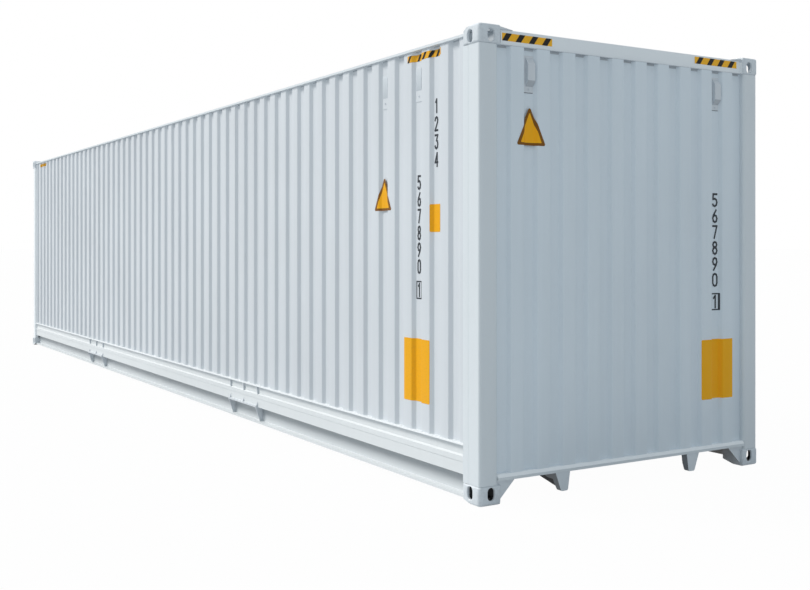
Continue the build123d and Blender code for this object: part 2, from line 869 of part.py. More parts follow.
# Bearings that carry the rods on the frame and on two ridges of each leaf
band_levels = [z for z, x in door_wave if x == 0]
ridge_low = (band_levels[2] + band_levels[3]) / 2
ridge_high = (band_levels[-4] + band_levels[-3]) / 2
frame_low = leaf_bottom + door_frame_width / 2
frame_high = leaf_top - door_frame_width / 2
bearing_seats = [
    (frame_low, door_face),
    (ridge_low - bearing_below_ridge, panel_face),
    (ridge_high - bearing_below_ridge, panel_face),
    (frame_high, door_face),
]
with BuildPart() as bearings:
    for place in rod_places:
        for level, seat in bearing_seats:
            add(rod_bracket(place, level, seat, bearing_height, bearing_width))
write(bearings.part, "rod_bearings")

# Keepers on the sill and header that hold the rod ends
keeper_levels = [rod_bottom + keeper_height / 2, rod_top - keeper_height / 2]
with BuildPart() as keepers:
    for place in rod_places:
        for level in keeper_levels:
            add(rod_bracket(place, level, door_face, keeper_height, keeper_width))
write(keepers.part, "rod_keepers")

# Door handles: a hub on each rod with a flat bar level across the leaf, its end held by a catch
handle_level = ridge_low + handle_above_ridge
handle_x = rod_x - rod_diameter / 2 - handle_steel
catch_back = panel_face - handle_x - handle_steel
with BuildPart() as handles:
    for place in rod_places:
        inward = 1 if abs(place) > abs(leaf_middle) else -1
        toward = inward * (1 if place < 0 else -1)
        with BuildSketch(Plane.XY.offset(handle_level - handle_width / 2)):
            with Locations((rod_x, place)):
                RegularPolygon(handle_hub / 2, hardware_side_count)
            with Locations((handle_x + handle_steel / 2, place + toward * handle_length / 2)):
                Rectangle(handle_steel, handle_length)
            with Locations((rod_x, place)):
                bore = rod_diameter / 2 + bearing_play
                RegularPolygon(bore, hardware_side_count, major_radius=False, mode=Mode.SUBTRACT)
        extrude(amount=handle_width)
        with BuildSketch(Plane.YZ.offset(panel_face)):
            with Locations((place + toward * (handle_length - catch_from_end), handle_level)):
                Rectangle(catch_width, handle_width + 2 * catch_overlap)
        extrude(amount=-catch_back)
write(handles.part, "door_handles")

# Hinges: two lugs on the post, and a blade between them that reaches over the leaf
hinge_front = door_face - hinge_knuckle
hinge_y = -rear_jamb - hinge_knuckle / 2
hinge_first = leaf_bottom + hinge_end_margin
hinge_step = (leaf_height - 2 * hinge_end_margin) / (hinge_count - 1)
hinge_levels = [hinge_first + number * hinge_step for number in range(hinge_count)]
with BuildPart() as hinge_lugs:
    for level in hinge_levels:
        for outward in (-1, 1):
            lug_bottom = level + outward * (hinge_height - hinge_lug_height) / 2 - hinge_lug_height / 2
            with BuildSketch(Plane.XY.offset(lug_bottom)):
                with BuildLine():
                    Polyline(
                        (door_face, hinge_y - hinge_knuckle / 2),
                        (door_face, hinge_y + hinge_knuckle / 2),
                        (hinge_front + hinge_round, hinge_y + hinge_knuckle / 2),
                        (hinge_front, hinge_y + hinge_knuckle / 2 - hinge_round),
                        (hinge_front, hinge_y - hinge_knuckle / 2 + hinge_round),
                        (hinge_front + hinge_round, hinge_y - hinge_knuckle / 2),
                        close=True,
                    )
                make_face()
            extrude(amount=hinge_lug_height)
    mirror(about=Plane.XZ)
write(hinge_lugs.part, "hinge_lugs")

blade_height = hinge_height - 2 * hinge_lug_height - 2 * hinge_play
blade_end = leaf_outer + hinge_blade_reach
with BuildPart() as hinge_blades:
    for level in hinge_levels:
        with BuildSketch(Plane.XY.offset(level - blade_height / 2)):
            with BuildLine():
                Polyline(
                    (door_face, hinge_y - hinge_knuckle / 2),
                    (door_face, blade_end),
                    (door_face - hinge_blade_steel, blade_end),
                    (door_face - hinge_blade_steel, hinge_y + hinge_knuckle / 2),
                    (hinge_front + hinge_round, hinge_y + hinge_knuckle / 2),
                    (hinge_front, hinge_y + hinge_knuckle / 2 - hinge_round),
                    (hinge_front, hinge_y - hinge_knuckle / 2 + hinge_round),
                    (hinge_front + hinge_round, hinge_y - hinge_knuckle / 2),
                    close=True,
                )
            make_face()
        extrude(amount=blade_height)
    mirror(about=Plane.XZ)
write(hinge_blades.part, "hinge_blades")
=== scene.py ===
import bpy
import bmesh
import json
import math
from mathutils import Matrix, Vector


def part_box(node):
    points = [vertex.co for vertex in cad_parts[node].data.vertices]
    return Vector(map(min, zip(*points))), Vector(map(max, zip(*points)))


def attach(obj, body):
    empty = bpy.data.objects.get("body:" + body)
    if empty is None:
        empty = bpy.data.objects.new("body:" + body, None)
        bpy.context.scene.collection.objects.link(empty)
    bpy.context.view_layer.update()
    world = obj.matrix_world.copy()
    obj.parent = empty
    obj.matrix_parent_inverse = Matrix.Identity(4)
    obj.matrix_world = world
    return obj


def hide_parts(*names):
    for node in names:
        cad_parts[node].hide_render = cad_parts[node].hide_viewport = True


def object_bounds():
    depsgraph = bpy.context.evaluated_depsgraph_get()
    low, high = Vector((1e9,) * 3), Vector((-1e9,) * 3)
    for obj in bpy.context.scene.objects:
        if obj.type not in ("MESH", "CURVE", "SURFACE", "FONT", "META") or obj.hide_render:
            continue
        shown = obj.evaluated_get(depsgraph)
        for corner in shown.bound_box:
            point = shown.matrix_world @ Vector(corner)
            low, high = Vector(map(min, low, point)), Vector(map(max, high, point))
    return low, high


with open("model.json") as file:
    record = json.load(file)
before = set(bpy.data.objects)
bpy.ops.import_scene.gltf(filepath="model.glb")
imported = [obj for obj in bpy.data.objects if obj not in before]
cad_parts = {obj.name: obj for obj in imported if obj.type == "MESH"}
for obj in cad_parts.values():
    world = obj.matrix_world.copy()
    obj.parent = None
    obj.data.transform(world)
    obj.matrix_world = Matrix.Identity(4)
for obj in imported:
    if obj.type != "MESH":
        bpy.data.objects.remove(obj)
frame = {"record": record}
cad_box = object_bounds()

# Everything is in metres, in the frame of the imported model: +X is the blind front end and -Y the
# right long side, the one that the photograph shows. The frame gives only the outer boxes of the
# nodes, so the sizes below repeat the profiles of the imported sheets, castings and rails.
HALF_LENGTH = (cad_box[1][0] - cad_box[0][0]) / 2
HALF_WIDTH = (cad_box[1][1] - cad_box[0][1]) / 2
SIDES = (("right", -1), ("left", 1))  # each long side with the sign of its Y


# Materials

NOISE_MIDDLE = (0.3, 0.7)  # most of a noise texture's values lie in this range
END_FACING = (0.5, 0.8)  # a face's normal along X: below it faces elsewhere, above it faces an end
LIP_EDGE = 0.002  # height over which a rail's painted shade ends at its lip
STREAK_TONE = 0.72  # brightness of rain streaks beside clean paint


def srgb(red, green, blue):
    """A display colour, 0 to 255, as the linear colour that shader sockets take."""
    def linear(value):
        value = value / 255
        return value / 12.92 if value <= 0.04045 else ((value + 0.055) / 1.055) ** 2.4
    return (linear(red), linear(green), linear(blue), 1.0)


def toned(colour, share, lift=0.0):
    """The colour at a share of its brightness, lifted by a little dust."""
    return tuple(min(1.0, channel * share + lift) for channel in colour[:3]) + (1.0,)


def add_node(tree, kind, **values):
    """A new shader node, with plain values on its named inputs."""
    node = tree.nodes.new("ShaderNode" + kind)
    for label, value in values.items():
        node.inputs[label].default_value = value
    return node


def new_material(name):
    """A material with a bare principled shader, its node tree and the shader."""
    material = bpy.data.materials.new(name)
    material.use_nodes = True
    tree = material.node_tree
    tree.nodes.clear()
    output = add_node(tree, "OutputMaterial")
    shader = add_node(tree, "BsdfPrincipled")
    tree.links.new(shader.outputs["BSDF"], output.inputs["Surface"])
    return material, tree, shader


def noise(tree, scale, detail=3.0, stretch=(1, 1, 1), roughness=0.5):
    """Noise in object space, stretched by scaling the coordinates."""
    place = add_node(tree, "TexCoord")
    mapping = add_node(tree, "Mapping", Scale=stretch)
    texture = add_node(tree, "TexNoise", Scale=scale, Detail=detail, Roughness=roughness)
    tree.links.new(place.outputs["Object"], mapping.inputs["Vector"])
    tree.links.new(mapping.outputs["Vector"], texture.inputs["Vector"])
    return texture.outputs["Fac"]


def remap(tree, value, source, target=(0.0, 1.0)):
    """Map one range of a value onto another, held at both ends."""
    node = add_node(tree, "MapRange")
    for label, number in zip(("From Min", "From Max", "To Min", "To Max"), source + target):
        node.inputs[label].default_value = number
    tree.links.new(value, node.inputs["Value"])
    return node.outputs["Result"]


def spread(tree, value, low, high):
    """Map the middle of a noise value onto a range."""
    return remap(tree, value, NOISE_MIDDLE, (low, high))


def calculate(tree, operation, *values):
    """A maths node between sockets and plain numbers."""
    node = add_node(tree, "Math")
    node.operation = operation
    for socket, value in zip(node.inputs, values):
        if isinstance(value, float):
            socket.default_value = value
        else:
            tree.links.new(value, socket)
    return node.outputs[0]


def blend_colours(tree, factor, first, second):
    """Mix two colours or colour sockets by a factor socket."""
    mix = add_node(tree, "Mix")
    mix.data_type = "RGBA"
    for label, value in (("A", first), ("B", second)):
        socket = [s for s in mix.inputs if s.name == label and s.type == "RGBA"][0]
        if isinstance(value, tuple):
            socket.default_value = value
        else:
            tree.links.new(value, socket)
    tree.links.new(factor, mix.inputs["Factor"])
    return [s for s in mix.outputs if s.type == "RGBA"][0]


def bump(tree, shader, height, strength, distance):
    node = add_node(tree, "Bump", Strength=strength, Distance=distance)
    tree.links.new(height, node.inputs["Height"])
    tree.links.new(node.outputs["Normal"], shader.inputs["Normal"])


def roughen(tree, shader, scale, low, high, detail=3.0):
    """Let the gloss wander between two roughness values."""
    wander = spread(tree, noise(tree, scale, detail), low, high)
    tree.links.new(wander, shader.inputs["Roughness"])


def painted_steel(name, colour, shade=0.93, gloss=(0.36, 0.50), dirt=0.10, grain=90.0):
    """Satin paint on sheet steel: slow tone changes, faint rain streaks and a fine sprayed skin."""
    material, tree, shader = new_material(name)
    slow = spread(tree, noise(tree, 0.7, detail=4.0), 0.0, 1.0)
    base = blend_colours(tree, slow, colour, toned(colour, shade))
    streak = noise(tree, 3.0, detail=5.0, stretch=(6.0, 6.0, 0.35))
    streak = spread(tree, streak, 0.0, dirt)
    base = blend_colours(tree, streak, base, toned(colour, STREAK_TONE))
    tree.links.new(base, shader.inputs["Base Color"])
    roughen(tree, shader, 5.0, *gloss, detail=4.0)
    bump(tree, shader, noise(tree, grain), strength=0.10, distance=0.0006)
    return material


def base_of(material):
    """Node tree, shader and base colour of a material, for paint on top of it."""
    tree = material.node_tree
    shader = [node for node in tree.nodes if node.type == "BSDF_PRINCIPLED"][0]
    return tree, shader, shader.inputs["Base Color"].links[0].from_socket


def geometry_value(tree, kind, axis):
    """One axis of a place or a normal of the surface."""
    geometry = add_node(tree, "NewGeometry")
    split = add_node(tree, "SeparateXYZ")
    tree.links.new(geometry.outputs[kind], split.inputs[0])
    return split.outputs[axis]


def cheek_painted_shade(name, colour, cheek):
    """Plain paint on the faces towards the container's ends, and the darker cheek colour on all
    others as painted shade.
    """
    material = painted_steel(name, colour)
    tree, shader, base = base_of(material)
    tilt = calculate(tree, "ABSOLUTE", geometry_value(tree, "True Normal", "X"))
    facing = remap(tree, tilt, END_FACING)
    tree.links.new(blend_colours(tree, facing, cheek, base), shader.inputs["Base Color"])
    return material


def banded_painted_shade(name, colour, shade_tone, start, full, stop):
    """Paint with painted shade that deepens upward from start to full and ends at stop, a rail's
    lip.
    """
    material = painted_steel(name, colour, shade=0.97, dirt=0.06, grain=120.0)
    tree, shader, base = base_of(material)
    height = geometry_value(tree, "Position", "Z")
    rising = remap(tree, height, (start, full))
    below_lip = remap(tree, height, (stop, stop - LIP_EDGE))
    painted_shade_band = calculate(tree, "MULTIPLY", rising, below_lip)
    tree.links.new(blend_colours(tree, painted_shade_band, base, shade_tone), shader.inputs["Base Color"])
    return material


def cast_steel(name, colour):
    """Thick paint over a sand casting: coarser bump and worn, darker specks."""
    material, tree, shader = new_material(name)
    specks = noise(tree, 38.0, detail=6.0, roughness=0.7)
    specks = spread(tree, specks, -0.25, 0.45)
    base = blend_colours(tree, specks, colour, toned(colour, 0.70))
    tree.links.new(base, shader.inputs["Base Color"])
    roughen(tree, shader, 24.0, 0.42, 0.62)
    sand = noise(tree, 120.0, detail=5.0)
    bump(tree, shader, sand, strength=0.35, distance=0.0012)
    return material


def zinc_steel(name):
    """Galvanised steel: cloudy grey crystals with a soft metal gloss."""
    material, tree, shader = new_material(name)
    shader.inputs["Metallic"].default_value = 0.75
    cloud = spread(tree, noise(tree, 26.0), 0.0, 1.0)
    tone = blend_colours(tree, cloud, srgb(176, 180, 184), srgb(142, 147, 152))
    tree.links.new(tone, shader.inputs["Base Color"])
    roughen(tree, shader, 60.0, 0.36, 0.55)
    crystals = noise(tree, 160.0, detail=4.0)
    bump(tree, shader, crystals, strength=0.2, distance=0.0008)
    return material


def rubber(name):
    """Black seal rubber with a chalky bloom."""
    material, tree, shader = new_material(name)
    bloom = spread(tree, noise(tree, 14.0, detail=5.0), 0.0, 1.0)
    tone = blend_colours(tree, bloom, srgb(26, 27, 29), srgb(48, 49, 51))
    tree.links.new(tone, shader.inputs["Base Color"])
    roughen(tree, shader, 50.0, 0.6, 0.8)
    bump(tree, shader, noise(tree, 220.0), strength=0.3, distance=0.0005)
    return material


def plywood(name):
    """Oiled floor boards, with the grain along the container."""
    material, tree, shader = new_material(name)
    grain = noise(tree, 6.0, detail=8.0, stretch=(0.35, 9.0, 9.0))
    veins = spread(tree, grain, 0.0, 1.0)
    tone = blend_colours(tree, veins, srgb(124, 92, 62), srgb(92, 64, 42))
    tree.links.new(tone, shader.inputs["Base Color"])
    roughen(tree, shader, 12.0, 0.55, 0.75)
    bump(tree, shader, grain, strength=0.3, distance=0.001)
    return material


def decal(name, colour, wear=0.16):
    """Printed film: nearly even colour with small scuffs."""
    material, tree, shader = new_material(name)
    scuff = noise(tree, 70.0, detail=6.0, roughness=0.75)
    scuff = spread(tree, scuff, -0.3, wear * 2)
    base = blend_colours(tree, scuff, colour, toned(colour, 0.62, lift=0.03))
    tree.links.new(base, shader.inputs["Base Color"])
    roughen(tree, shader, 30.0, 0.38, 0.52)
    shader.inputs["Specular IOR Level"].default_value = 0.2
    bump(tree, shader, noise(tree, 260.0), strength=0.1, distance=0.0003)
    return material


TRIM = dict(shade=0.95, dirt=0.06, grain=120.0)
UNSEEN = dict(shade=0.85, gloss=(0.5, 0.7), dirt=0.3)

body_paint = painted_steel("pale_grey_paint", srgb(218, 223, 228))
# The end wall takes a lighter copy of the side walls' paint, as painted light on the shaded end.
lightened_end_paint = painted_steel("pale_grey_end_paint", srgb(227, 236, 243))
trim_paint = painted_steel("pale_grey_frame_paint", srgb(224, 230, 234), **TRIM)
casting_paint = cast_steel("pale_grey_casting_paint", srgb(218, 224, 229))
# The header's paint is a lighter copy of the frame paint, as painted light on the shaded end; the
# rear posts share it.
lightened_header_paint = painted_steel("pale_grey_header_paint", srgb(242, 246, 249),
                             shade=0.97, dirt=0.04, grain=120.0)
# Near-white paint for painted highlights on the sill's bevel, the bottom rails' ledges and the top
# castings' flanks.
near_white_highlight_paint = painted_steel("painted_highlight_paint", srgb(250, 253, 255),
                            shade=0.98, dirt=0.02, grain=120.0)
# Dark paint for painted shade inside the lower castings and on the plate behind the tunnel foot.
hollow_painted_shade = painted_steel("shaded_hollow_paint", srgb(64, 68, 72), **UNSEEN)
vent_paint = painted_steel("grey_vent_paint", srgb(204, 211, 217), **TRIM)
# Grey paint for painted shade under the header, at the tops of the side recesses and under the
# front hoods.
painted_shade_paint = painted_steel("painted_shade_grey_paint", srgb(186, 192, 198),
                            shade=0.9, dirt=0.12, grain=120.0)
# The underframe's pale grey paint is darkened as painted shade; it also makes the dark strip under
# the front hoods.
underframe_painted_shade = painted_steel("underframe_paint", srgb(112, 119, 126), **UNSEEN)
# The feet and gussets get painted shade on every face that does not look towards an end.
foot_paint_shaded_cheeks = cheek_painted_shade("foot_paint_shaded_cheeks", srgb(226, 232, 237), srgb(106, 114, 121))
# The bottom rails darken upward towards the face's foot as painted shade.
rail_painted_shade = banded_painted_shade("bottom_rail_paint", srgb(226, 230, 232), srgb(168, 174, 178),
                          start=0.030, full=0.105, stop=0.160)

amber_film = decal("amber_film", srgb(246, 176, 16))
black_film = decal("black_film", srgb(24, 24, 26), wear=0.06)
yellow_film = decal("yellow_film", srgb(240, 176, 40), wear=0.22)
# Lighter copies of the yellow and amber films, as painted light for the marks on the shaded end.
lightened_header_film = decal("yellow_film_painted_lighter", srgb(255, 188, 44), wear=0.16)
lightened_end_film = decal("amber_film_painted_lighter", srgb(255, 182, 18), wear=0.08)
rim_film = decal("amber_rim_film", srgb(128, 82, 12))
figure_film = decal("figure_film", srgb(58, 62, 68), wear=0.12)

PAINT_BY_SLOT = {
    "body_paint": body_paint,
    "casting_paint": casting_paint,
    "underframe_paint": underframe_painted_shade,
    "galvanised_steel": zinc_steel("galvanised_steel"),
    "seal_rubber": rubber("seal_rubber"),
    "floor_plywood": plywood("floor_plywood"),
}
PAINT_BY_NODE = (
    (("post_front", "top_rail", "front_header", "front_sill", "rear_header", "door_sill"),
     trim_paint),
    (("tunnel_foot", "corner_gusset"), foot_paint_shaded_cheeks),
    (("bottom_rail",), rail_painted_shade),
    (("post_rear",), lightened_header_paint),
)


def dress_cad_nodes():
    """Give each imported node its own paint, or else that of its material slot."""
    for entry in frame["record"]["subparts"]:
        node = entry["node"]
        own = [paint for starts, paint in PAINT_BY_NODE if node.startswith(starts)]
        piece = bpy.data.objects[node]
        piece.data.materials.clear()
        piece.data.materials.append(own[0] if own else PAINT_BY_SLOT[entry["material_slot"]])


dress_cad_nodes()


# Shapes

SAME_PLACE = 1e-6  # places closer than this count as one


def finish_piece(piece, material, replaces=(), smooth_angle=32):
    """Material, shading and the frame's bookkeeping for a new piece."""
    piece.data.materials.clear()
    piece.data.materials.append(material)
    for face in piece.data.polygons:
        face.use_smooth = True
    piece.data.set_sharp_from_angle(angle=math.radians(smooth_angle))
    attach(piece, "root")
    if replaces:
        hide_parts(*replaces)


def link_object(name, data):
    piece = bpy.data.objects.new(name, data)
    bpy.context.scene.collection.objects.link(piece)
    return piece


def tidy_normals(piece):
    shell = bmesh.new()
    shell.from_mesh(piece.data)
    bmesh.ops.recalc_face_normals(shell, faces=shell.faces)
    shell.to_mesh(piece.data)
    shell.free()


def mesh_piece(name, vertices, faces):
    """A new object from corner points and faces, its faces turned outward."""
    mesh = bpy.data.meshes.new(name)
    mesh.from_pydata(vertices, [], faces)
    mesh.validate()
    piece = link_object(name, mesh)
    tidy_normals(piece)
    return piece


def loose_object(name, shell):
    """A new object from a bmesh, which it uses up."""
    mesh = bpy.data.meshes.new(name)
    shell.to_mesh(mesh)
    shell.free()
    return link_object(name, mesh)


def block(low, high):
    """A plain box as a bmesh."""
    shell = bmesh.new()
    bmesh.ops.create_cube(shell, size=1)
    for v in shell.verts:
        v.co = Vector([low[k] + (v.co[k] + 0.5) * (high[k] - low[k]) for k in range(3)])
    return shell


def loft(rings):
    """A closed shell through rings of as many points each, capped at both ends."""
    shell = bmesh.new()
    rings = [[shell.verts.new(point) for point in ring] for ring in rings]
    count = len(rings[0])
    shell.faces.new(rings[0])
    shell.faces.new(rings[-1][::-1])
    for near, far in zip(rings, rings[1:]):
        for i in range(count):
            following = (i + 1) % count
            shell.faces.new((near[i], far[i], far[following], near[following]))
    bmesh.ops.recalc_face_normals(shell, faces=shell.faces)
    return shell


def prism(points, depth, place):
    """A closed prism: flat corner points, and place(across, up, depth) for both ends."""
    return loft([[place(across, up, end) for across, up in points] for end in depth])


def box_piece(name, material, *boxes, slot="body_paint", replaces=(), rounding=0.0):
    """One piece from plain boxes, each given by its low and high corner."""
    whole = bmesh.new()
    for low, high in boxes:
        part = block(low, high)
        if rounding:
            bmesh.ops.bevel(part, geom=part.edges[:], offset=rounding, segments=2, profile=0.5,
                            affect="EDGES")
        mesh = bpy.data.meshes.new("part")
        part.to_mesh(mesh)
        part.free()
        whole.from_mesh(mesh)
        bpy.data.meshes.remove(mesh)
    piece = loose_object(name, whole)
    tidy_normals(piece)
    finish_piece(piece, material, replaces)


def behind_front(distance):
    """The X value of a place so far behind the front end."""
    return HALF_LENGTH - distance


# Corrugated sheets with rounded bends: pitch, ridge width, slope width, depth, steel thickness,
# bend radius and flat margin at each end

SIDE_WAVE = dict(pitch=0.2185, ridge=0.094, slope=0.026, depth=0.022, steel=0.002, bend=0.010,
                 margin=0.0645)
END_WAVE = dict(pitch=0.205, ridge=0.098, slope=0.018, depth=0.028, steel=0.002, bend=0.009,
                margin=0.0)
BEND_STEPS = 4
STRAIGHT_ANGLE = 1e-4  # a corner that turns less than this, in radians, is left alone


def ridge_middles(span, wave):
    """The middles of a sheet's ridges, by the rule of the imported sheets."""
    start, end = span
    pitch, slope, margin = wave["pitch"], wave["slope"], wave["margin"]
    taken = margin + slope if margin else 0.0
    room = end - start - 2 * taken + pitch - wave["ridge"] - 2 * slope
    count = int(room / pitch + SAME_PLACE)
    return [(start + end) / 2 + (number - (count - 1) / 2) * pitch for number in range(count)]


def wave_corners(span, wave):
    """Corner points of a trapezoid wave: (along, depth)."""
    start, end = span
    slope, depth, margin = wave["slope"], wave["depth"], wave["margin"]
    taken = margin + slope if margin else 0.0
    points = [(start, 0.0), (start + margin, 0.0)] if margin else []
    points.append((start + taken, depth))
    for middle in ridge_middles(span, wave):
        left, right = middle - wave["ridge"] / 2, middle + wave["ridge"] / 2
        points += [(left - slope, depth), (left, 0.0), (right, 0.0), (right + slope, depth)]
    points.append((end - taken, depth))
    if margin:
        points += [(end - margin, 0.0), (end, 0.0)]
    return points


def round_corners(points, radius, steps=BEND_STEPS):
    """Replace each corner of an open path by an arc."""
    path = [Vector(points[0])]
    for before, corner, after in zip(points, points[1:], points[2:]):
        corner = Vector(corner)
        inward = (Vector(before) - corner).normalized()
        outward = (Vector(after) - corner).normalized()
        turn = math.pi - inward.angle(outward)
        if turn < STRAIGHT_ANGLE:
            path.append(corner)
            continue
        reach = radius * math.tan(turn / 2)
        centre = corner + (inward + outward).normalized() * (radius / math.cos(turn / 2))
        first = corner + inward * reach - centre
        last = corner + outward * reach - centre
        for step in range(steps + 1):
            mixed = first.lerp(last, step / steps).normalized() * radius
            path.append(centre + mixed)
    path.append(Vector(points[-1]))
    return path


def offset_path(path, distance):
    """The path moved sideways, to the side of growing depth."""
    moved = []
    for index, point in enumerate(path):
        before = path[max(index - 1, 0)]
        after = path[min(index + 1, len(path) - 1)]
        direction = (after - before).normalized()
        moved.append(point + Vector((-direction.y, direction.x)) * distance)
    return moved


def wave_path(span, wave):
    """A sheet's outer surface with rounded bends, as points of (along, depth)."""
    return round_corners(wave_corners(span, wave), wave["bend"])


def wave_sheet(name, node, span, wave, place, paint):
    """A pressed sheet in a node's place. place turns (along, depth, up) into a point."""
    low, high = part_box(node)
    outer = wave_path(span, wave)
    inner = offset_path(outer, wave["steel"])
    inner[0].x, inner[-1].x = span
    ring = outer + inner[::-1]
    count = len(ring)
    vertices = [place(p.x, p.y, up) for up in (low[2], high[2]) for p in ring]
    faces = [(i, (i + 1) % count, count + (i + 1) % count, count + i) for i in range(count)]
    for i in range(len(outer) - 1):
        mirror = count - 1 - i
        faces.append((i + 1, i, mirror, mirror - 1))
        faces.append((count + i, count + i + 1, count + mirror - 1, count + mirror))
    finish_piece(mesh_piece(name, vertices, faces), paint, replaces=(node,))


right_low, right_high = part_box("side_wall_right")
left_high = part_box("side_wall_left")[1]
front_low, front_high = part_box("front_wall")
SIDE_SPAN = (right_low[0], right_high[0])
FRONT_SPAN = (front_low[1], front_high[1])


def on_right_wall(along, into, up):
    return (along, right_low[1] + into, up)


def on_left_wall(along, into, up):
    return (along, left_high[1] - into, up)


def on_front_wall(along, into, up):
    return (front_high[0] - into, along, up)


wave_sheet("side_sheet_right", "side_wall_right", SIDE_SPAN, SIDE_WAVE, on_right_wall, body_paint)
wave_sheet("side_sheet_left", "side_wall_left", SIDE_SPAN, SIDE_WAVE, on_left_wall, body_paint)
# The end sheet takes the lighter paint, as painted light.
wave_sheet("front_sheet", "front_wall", FRONT_SPAN, END_WAVE, on_front_wall, lightened_end_paint)


# Corner castings with rounded edges and bevelled hole rims, in place of the sharp packed ones

CASTING_ROUND = 0.015
CASTING_CORNER_ROUND = 0.027
CASTING_WALL = 0.016
CASTING_PLATE = 0.0285
CASTING_LID = 0.010
HOLE_FROM_END = 0.1015
HOLE_FROM_SIDE = 0.089
SLOT_SIZE = (0.1245, 0.0635)
HOLE_SIZE = (0.0795, 0.051)
HOLE_BEVEL = 0.0045
HOLE_STEPS = 14
# Slopes at the castings' inner ends and flanks: how far back one starts, and its drop at the end.
# HEAD_END is the upper castings' whole slope, as points of (distance from the end, drop).
FOOT_END = (0.085, 0.026)
FOOT_FLANK = (0.011, 0.040)
HEAD_END = ((0.085, 0.0), (0.040, 0.011), (0.0, 0.036))
SHARP_EDGE = 0.8  # edges that turn more than this, in radians, are rounded
CUTTER_SPARE = 0.002
UNSHADED_SKIN = 0.009  # faces this near to the outside of a casting's box keep the plain paint, without painted shade
WALL_SLACK = 0.001


def stadium(length, width, steps=HOLE_STEPS):
    """Points of a slot outline round its middle, long way along the first value."""
    points = []
    for side in (1, -1):
        for step in range(steps + 1):
            angle = math.pi * (step / steps - 0.5)
            across = side * ((length - width) / 2 + math.cos(angle) * width / 2)
            points.append((across, side * math.sin(angle) * width / 2))
    return points


def flared_hole(length, width, wall, place):
    """A cutter for a slot whose rim is bevelled: wide at the surface, straight further in."""
    flare = 4 * HOLE_BEVEL
    rings = []
    for inward, extra in ((-HOLE_BEVEL, flare), (HOLE_BEVEL, 0.0), (wall + CUTTER_SPARE, 0.0)):
        points = stadium(length + extra, width + extra)
        rings.append([place(across, up, inward) for across, up in points])
    return loft(rings)


def carve(body, cutters):
    """Subtract each cutter from the body and return the carved mesh."""
    for cutter in cutters:
        modifier = body.modifiers.new("carve", "BOOLEAN")
        modifier.operation = "DIFFERENCE"
        modifier.solver = "EXACT"
        modifier.object = cutter
    shape = body.evaluated_get(bpy.context.evaluated_depsgraph_get())
    mesh = bpy.data.meshes.new_from_object(shape)
    for used in [body] + cutters:
        bpy.data.objects.remove(used)
    return mesh


def rounded_block(length, width, height):
    """A casting's body, from its outer corner: rounded but where it meets the post and the rail."""
    shell = block((0, 0, 0), (length, width, height))

    def edges_on(*planes):
        return [edge for edge in shell.edges if all(
            abs(v.co[axis] - at) < SAME_PLACE for v in edge.verts for axis, at in planes)]

    bmesh.ops.bevel(shell, geom=edges_on((0, 0), (1, 0)), offset=CASTING_CORNER_ROUND,
                    segments=6, profile=0.5, affect="EDGES")
    inner_end = set(edges_on((0, length)))
    inner_side = set(edges_on((1, width)))
    upright = {edge for edge in shell.edges
               if (edge.verts[0].co.xy - edge.verts[1].co.xy).length < SAME_PLACE}
    inner = (inner_end & inner_side) | ((inner_end | inner_side) - upright)
    rim = [edge for edge in shell.edges
           if edge not in inner and edge.calc_face_angle() > SHARP_EDGE]
    bmesh.ops.bevel(shell, geom=rim, offset=CASTING_ROUND, segments=5, profile=0.5,
                    affect="EDGES")
    return shell


def casting_mesh(low_level):
    """One casting, measured inward from its end, side and outer level face."""
    low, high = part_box("fitting_front_bottom_right")
    length, width, height = (high[k] - low[k] for k in range(3))
    hole_middle = CASTING_PLATE + HOLE_SIZE[0] / 2
    cutters = [
        block((CASTING_WALL, CASTING_WALL, CASTING_PLATE),
              (length - CASTING_WALL, width - CASTING_WALL, height - CASTING_LID)),
        flared_hole(*SLOT_SIZE, CASTING_PLATE,
                    lambda a, u, d: (HOLE_FROM_END + a, HOLE_FROM_SIDE + u, d)),
        flared_hole(*HOLE_SIZE, CASTING_WALL,
                    lambda a, u, d: (d, HOLE_FROM_SIDE + u, hole_middle + a)),
        flared_hole(*HOLE_SIZE, CASTING_WALL,
                    lambda a, u, d: (HOLE_FROM_END + u, d, hole_middle + a)),
    ]
    beyond, above = length + CUTTER_SPARE, -CUTTER_SPARE
    if low_level:
        end_wedge = [(beyond, above), (length - FOOT_END[0], 0), (beyond, FOOT_END[1])]
    else:
        slope = [(length - reach, drop) for reach, drop in HEAD_END]
        end_wedge = [(beyond, above), (slope[0][0], above)] + slope + [(beyond, slope[-1][1])]
    beside = width + CUTTER_SPARE
    flank_wedge = [(beside, above), (width - FOOT_FLANK[0], 0), (beside, FOOT_FLANK[1])]
    cutters.append(prism(end_wedge, (above, beside), lambda a, u, d: (a, d, u)))
    cutters.append(prism(flank_wedge, (above, beyond), lambda a, u, d: (d, a, u)))
    body = loose_object("casting_body", rounded_block(length, width, height))
    return carve(body, [loose_object("cutter", cutter) for cutter in cutters])


def shade_hollow(piece, low, high):
    """Give the faces round the cavity dark paint as painted shade."""
    piece.data.materials.append(hollow_painted_shade)
    outer = [(0, high[0] if high[0] > 0 else low[0]), (1, low[1] if low[1] < 0 else high[1])]
    for face in piece.data.polygons:
        middle = face.center
        deep = all(abs(middle[axis] - at) > CASTING_WALL - WALL_SLACK for axis, at in outer)
        inside = all(low[k] + UNSHADED_SKIN < middle[k] < high[k] - UNSHADED_SKIN for k in range(3))
        if deep and inside:
            face.material_index = 1


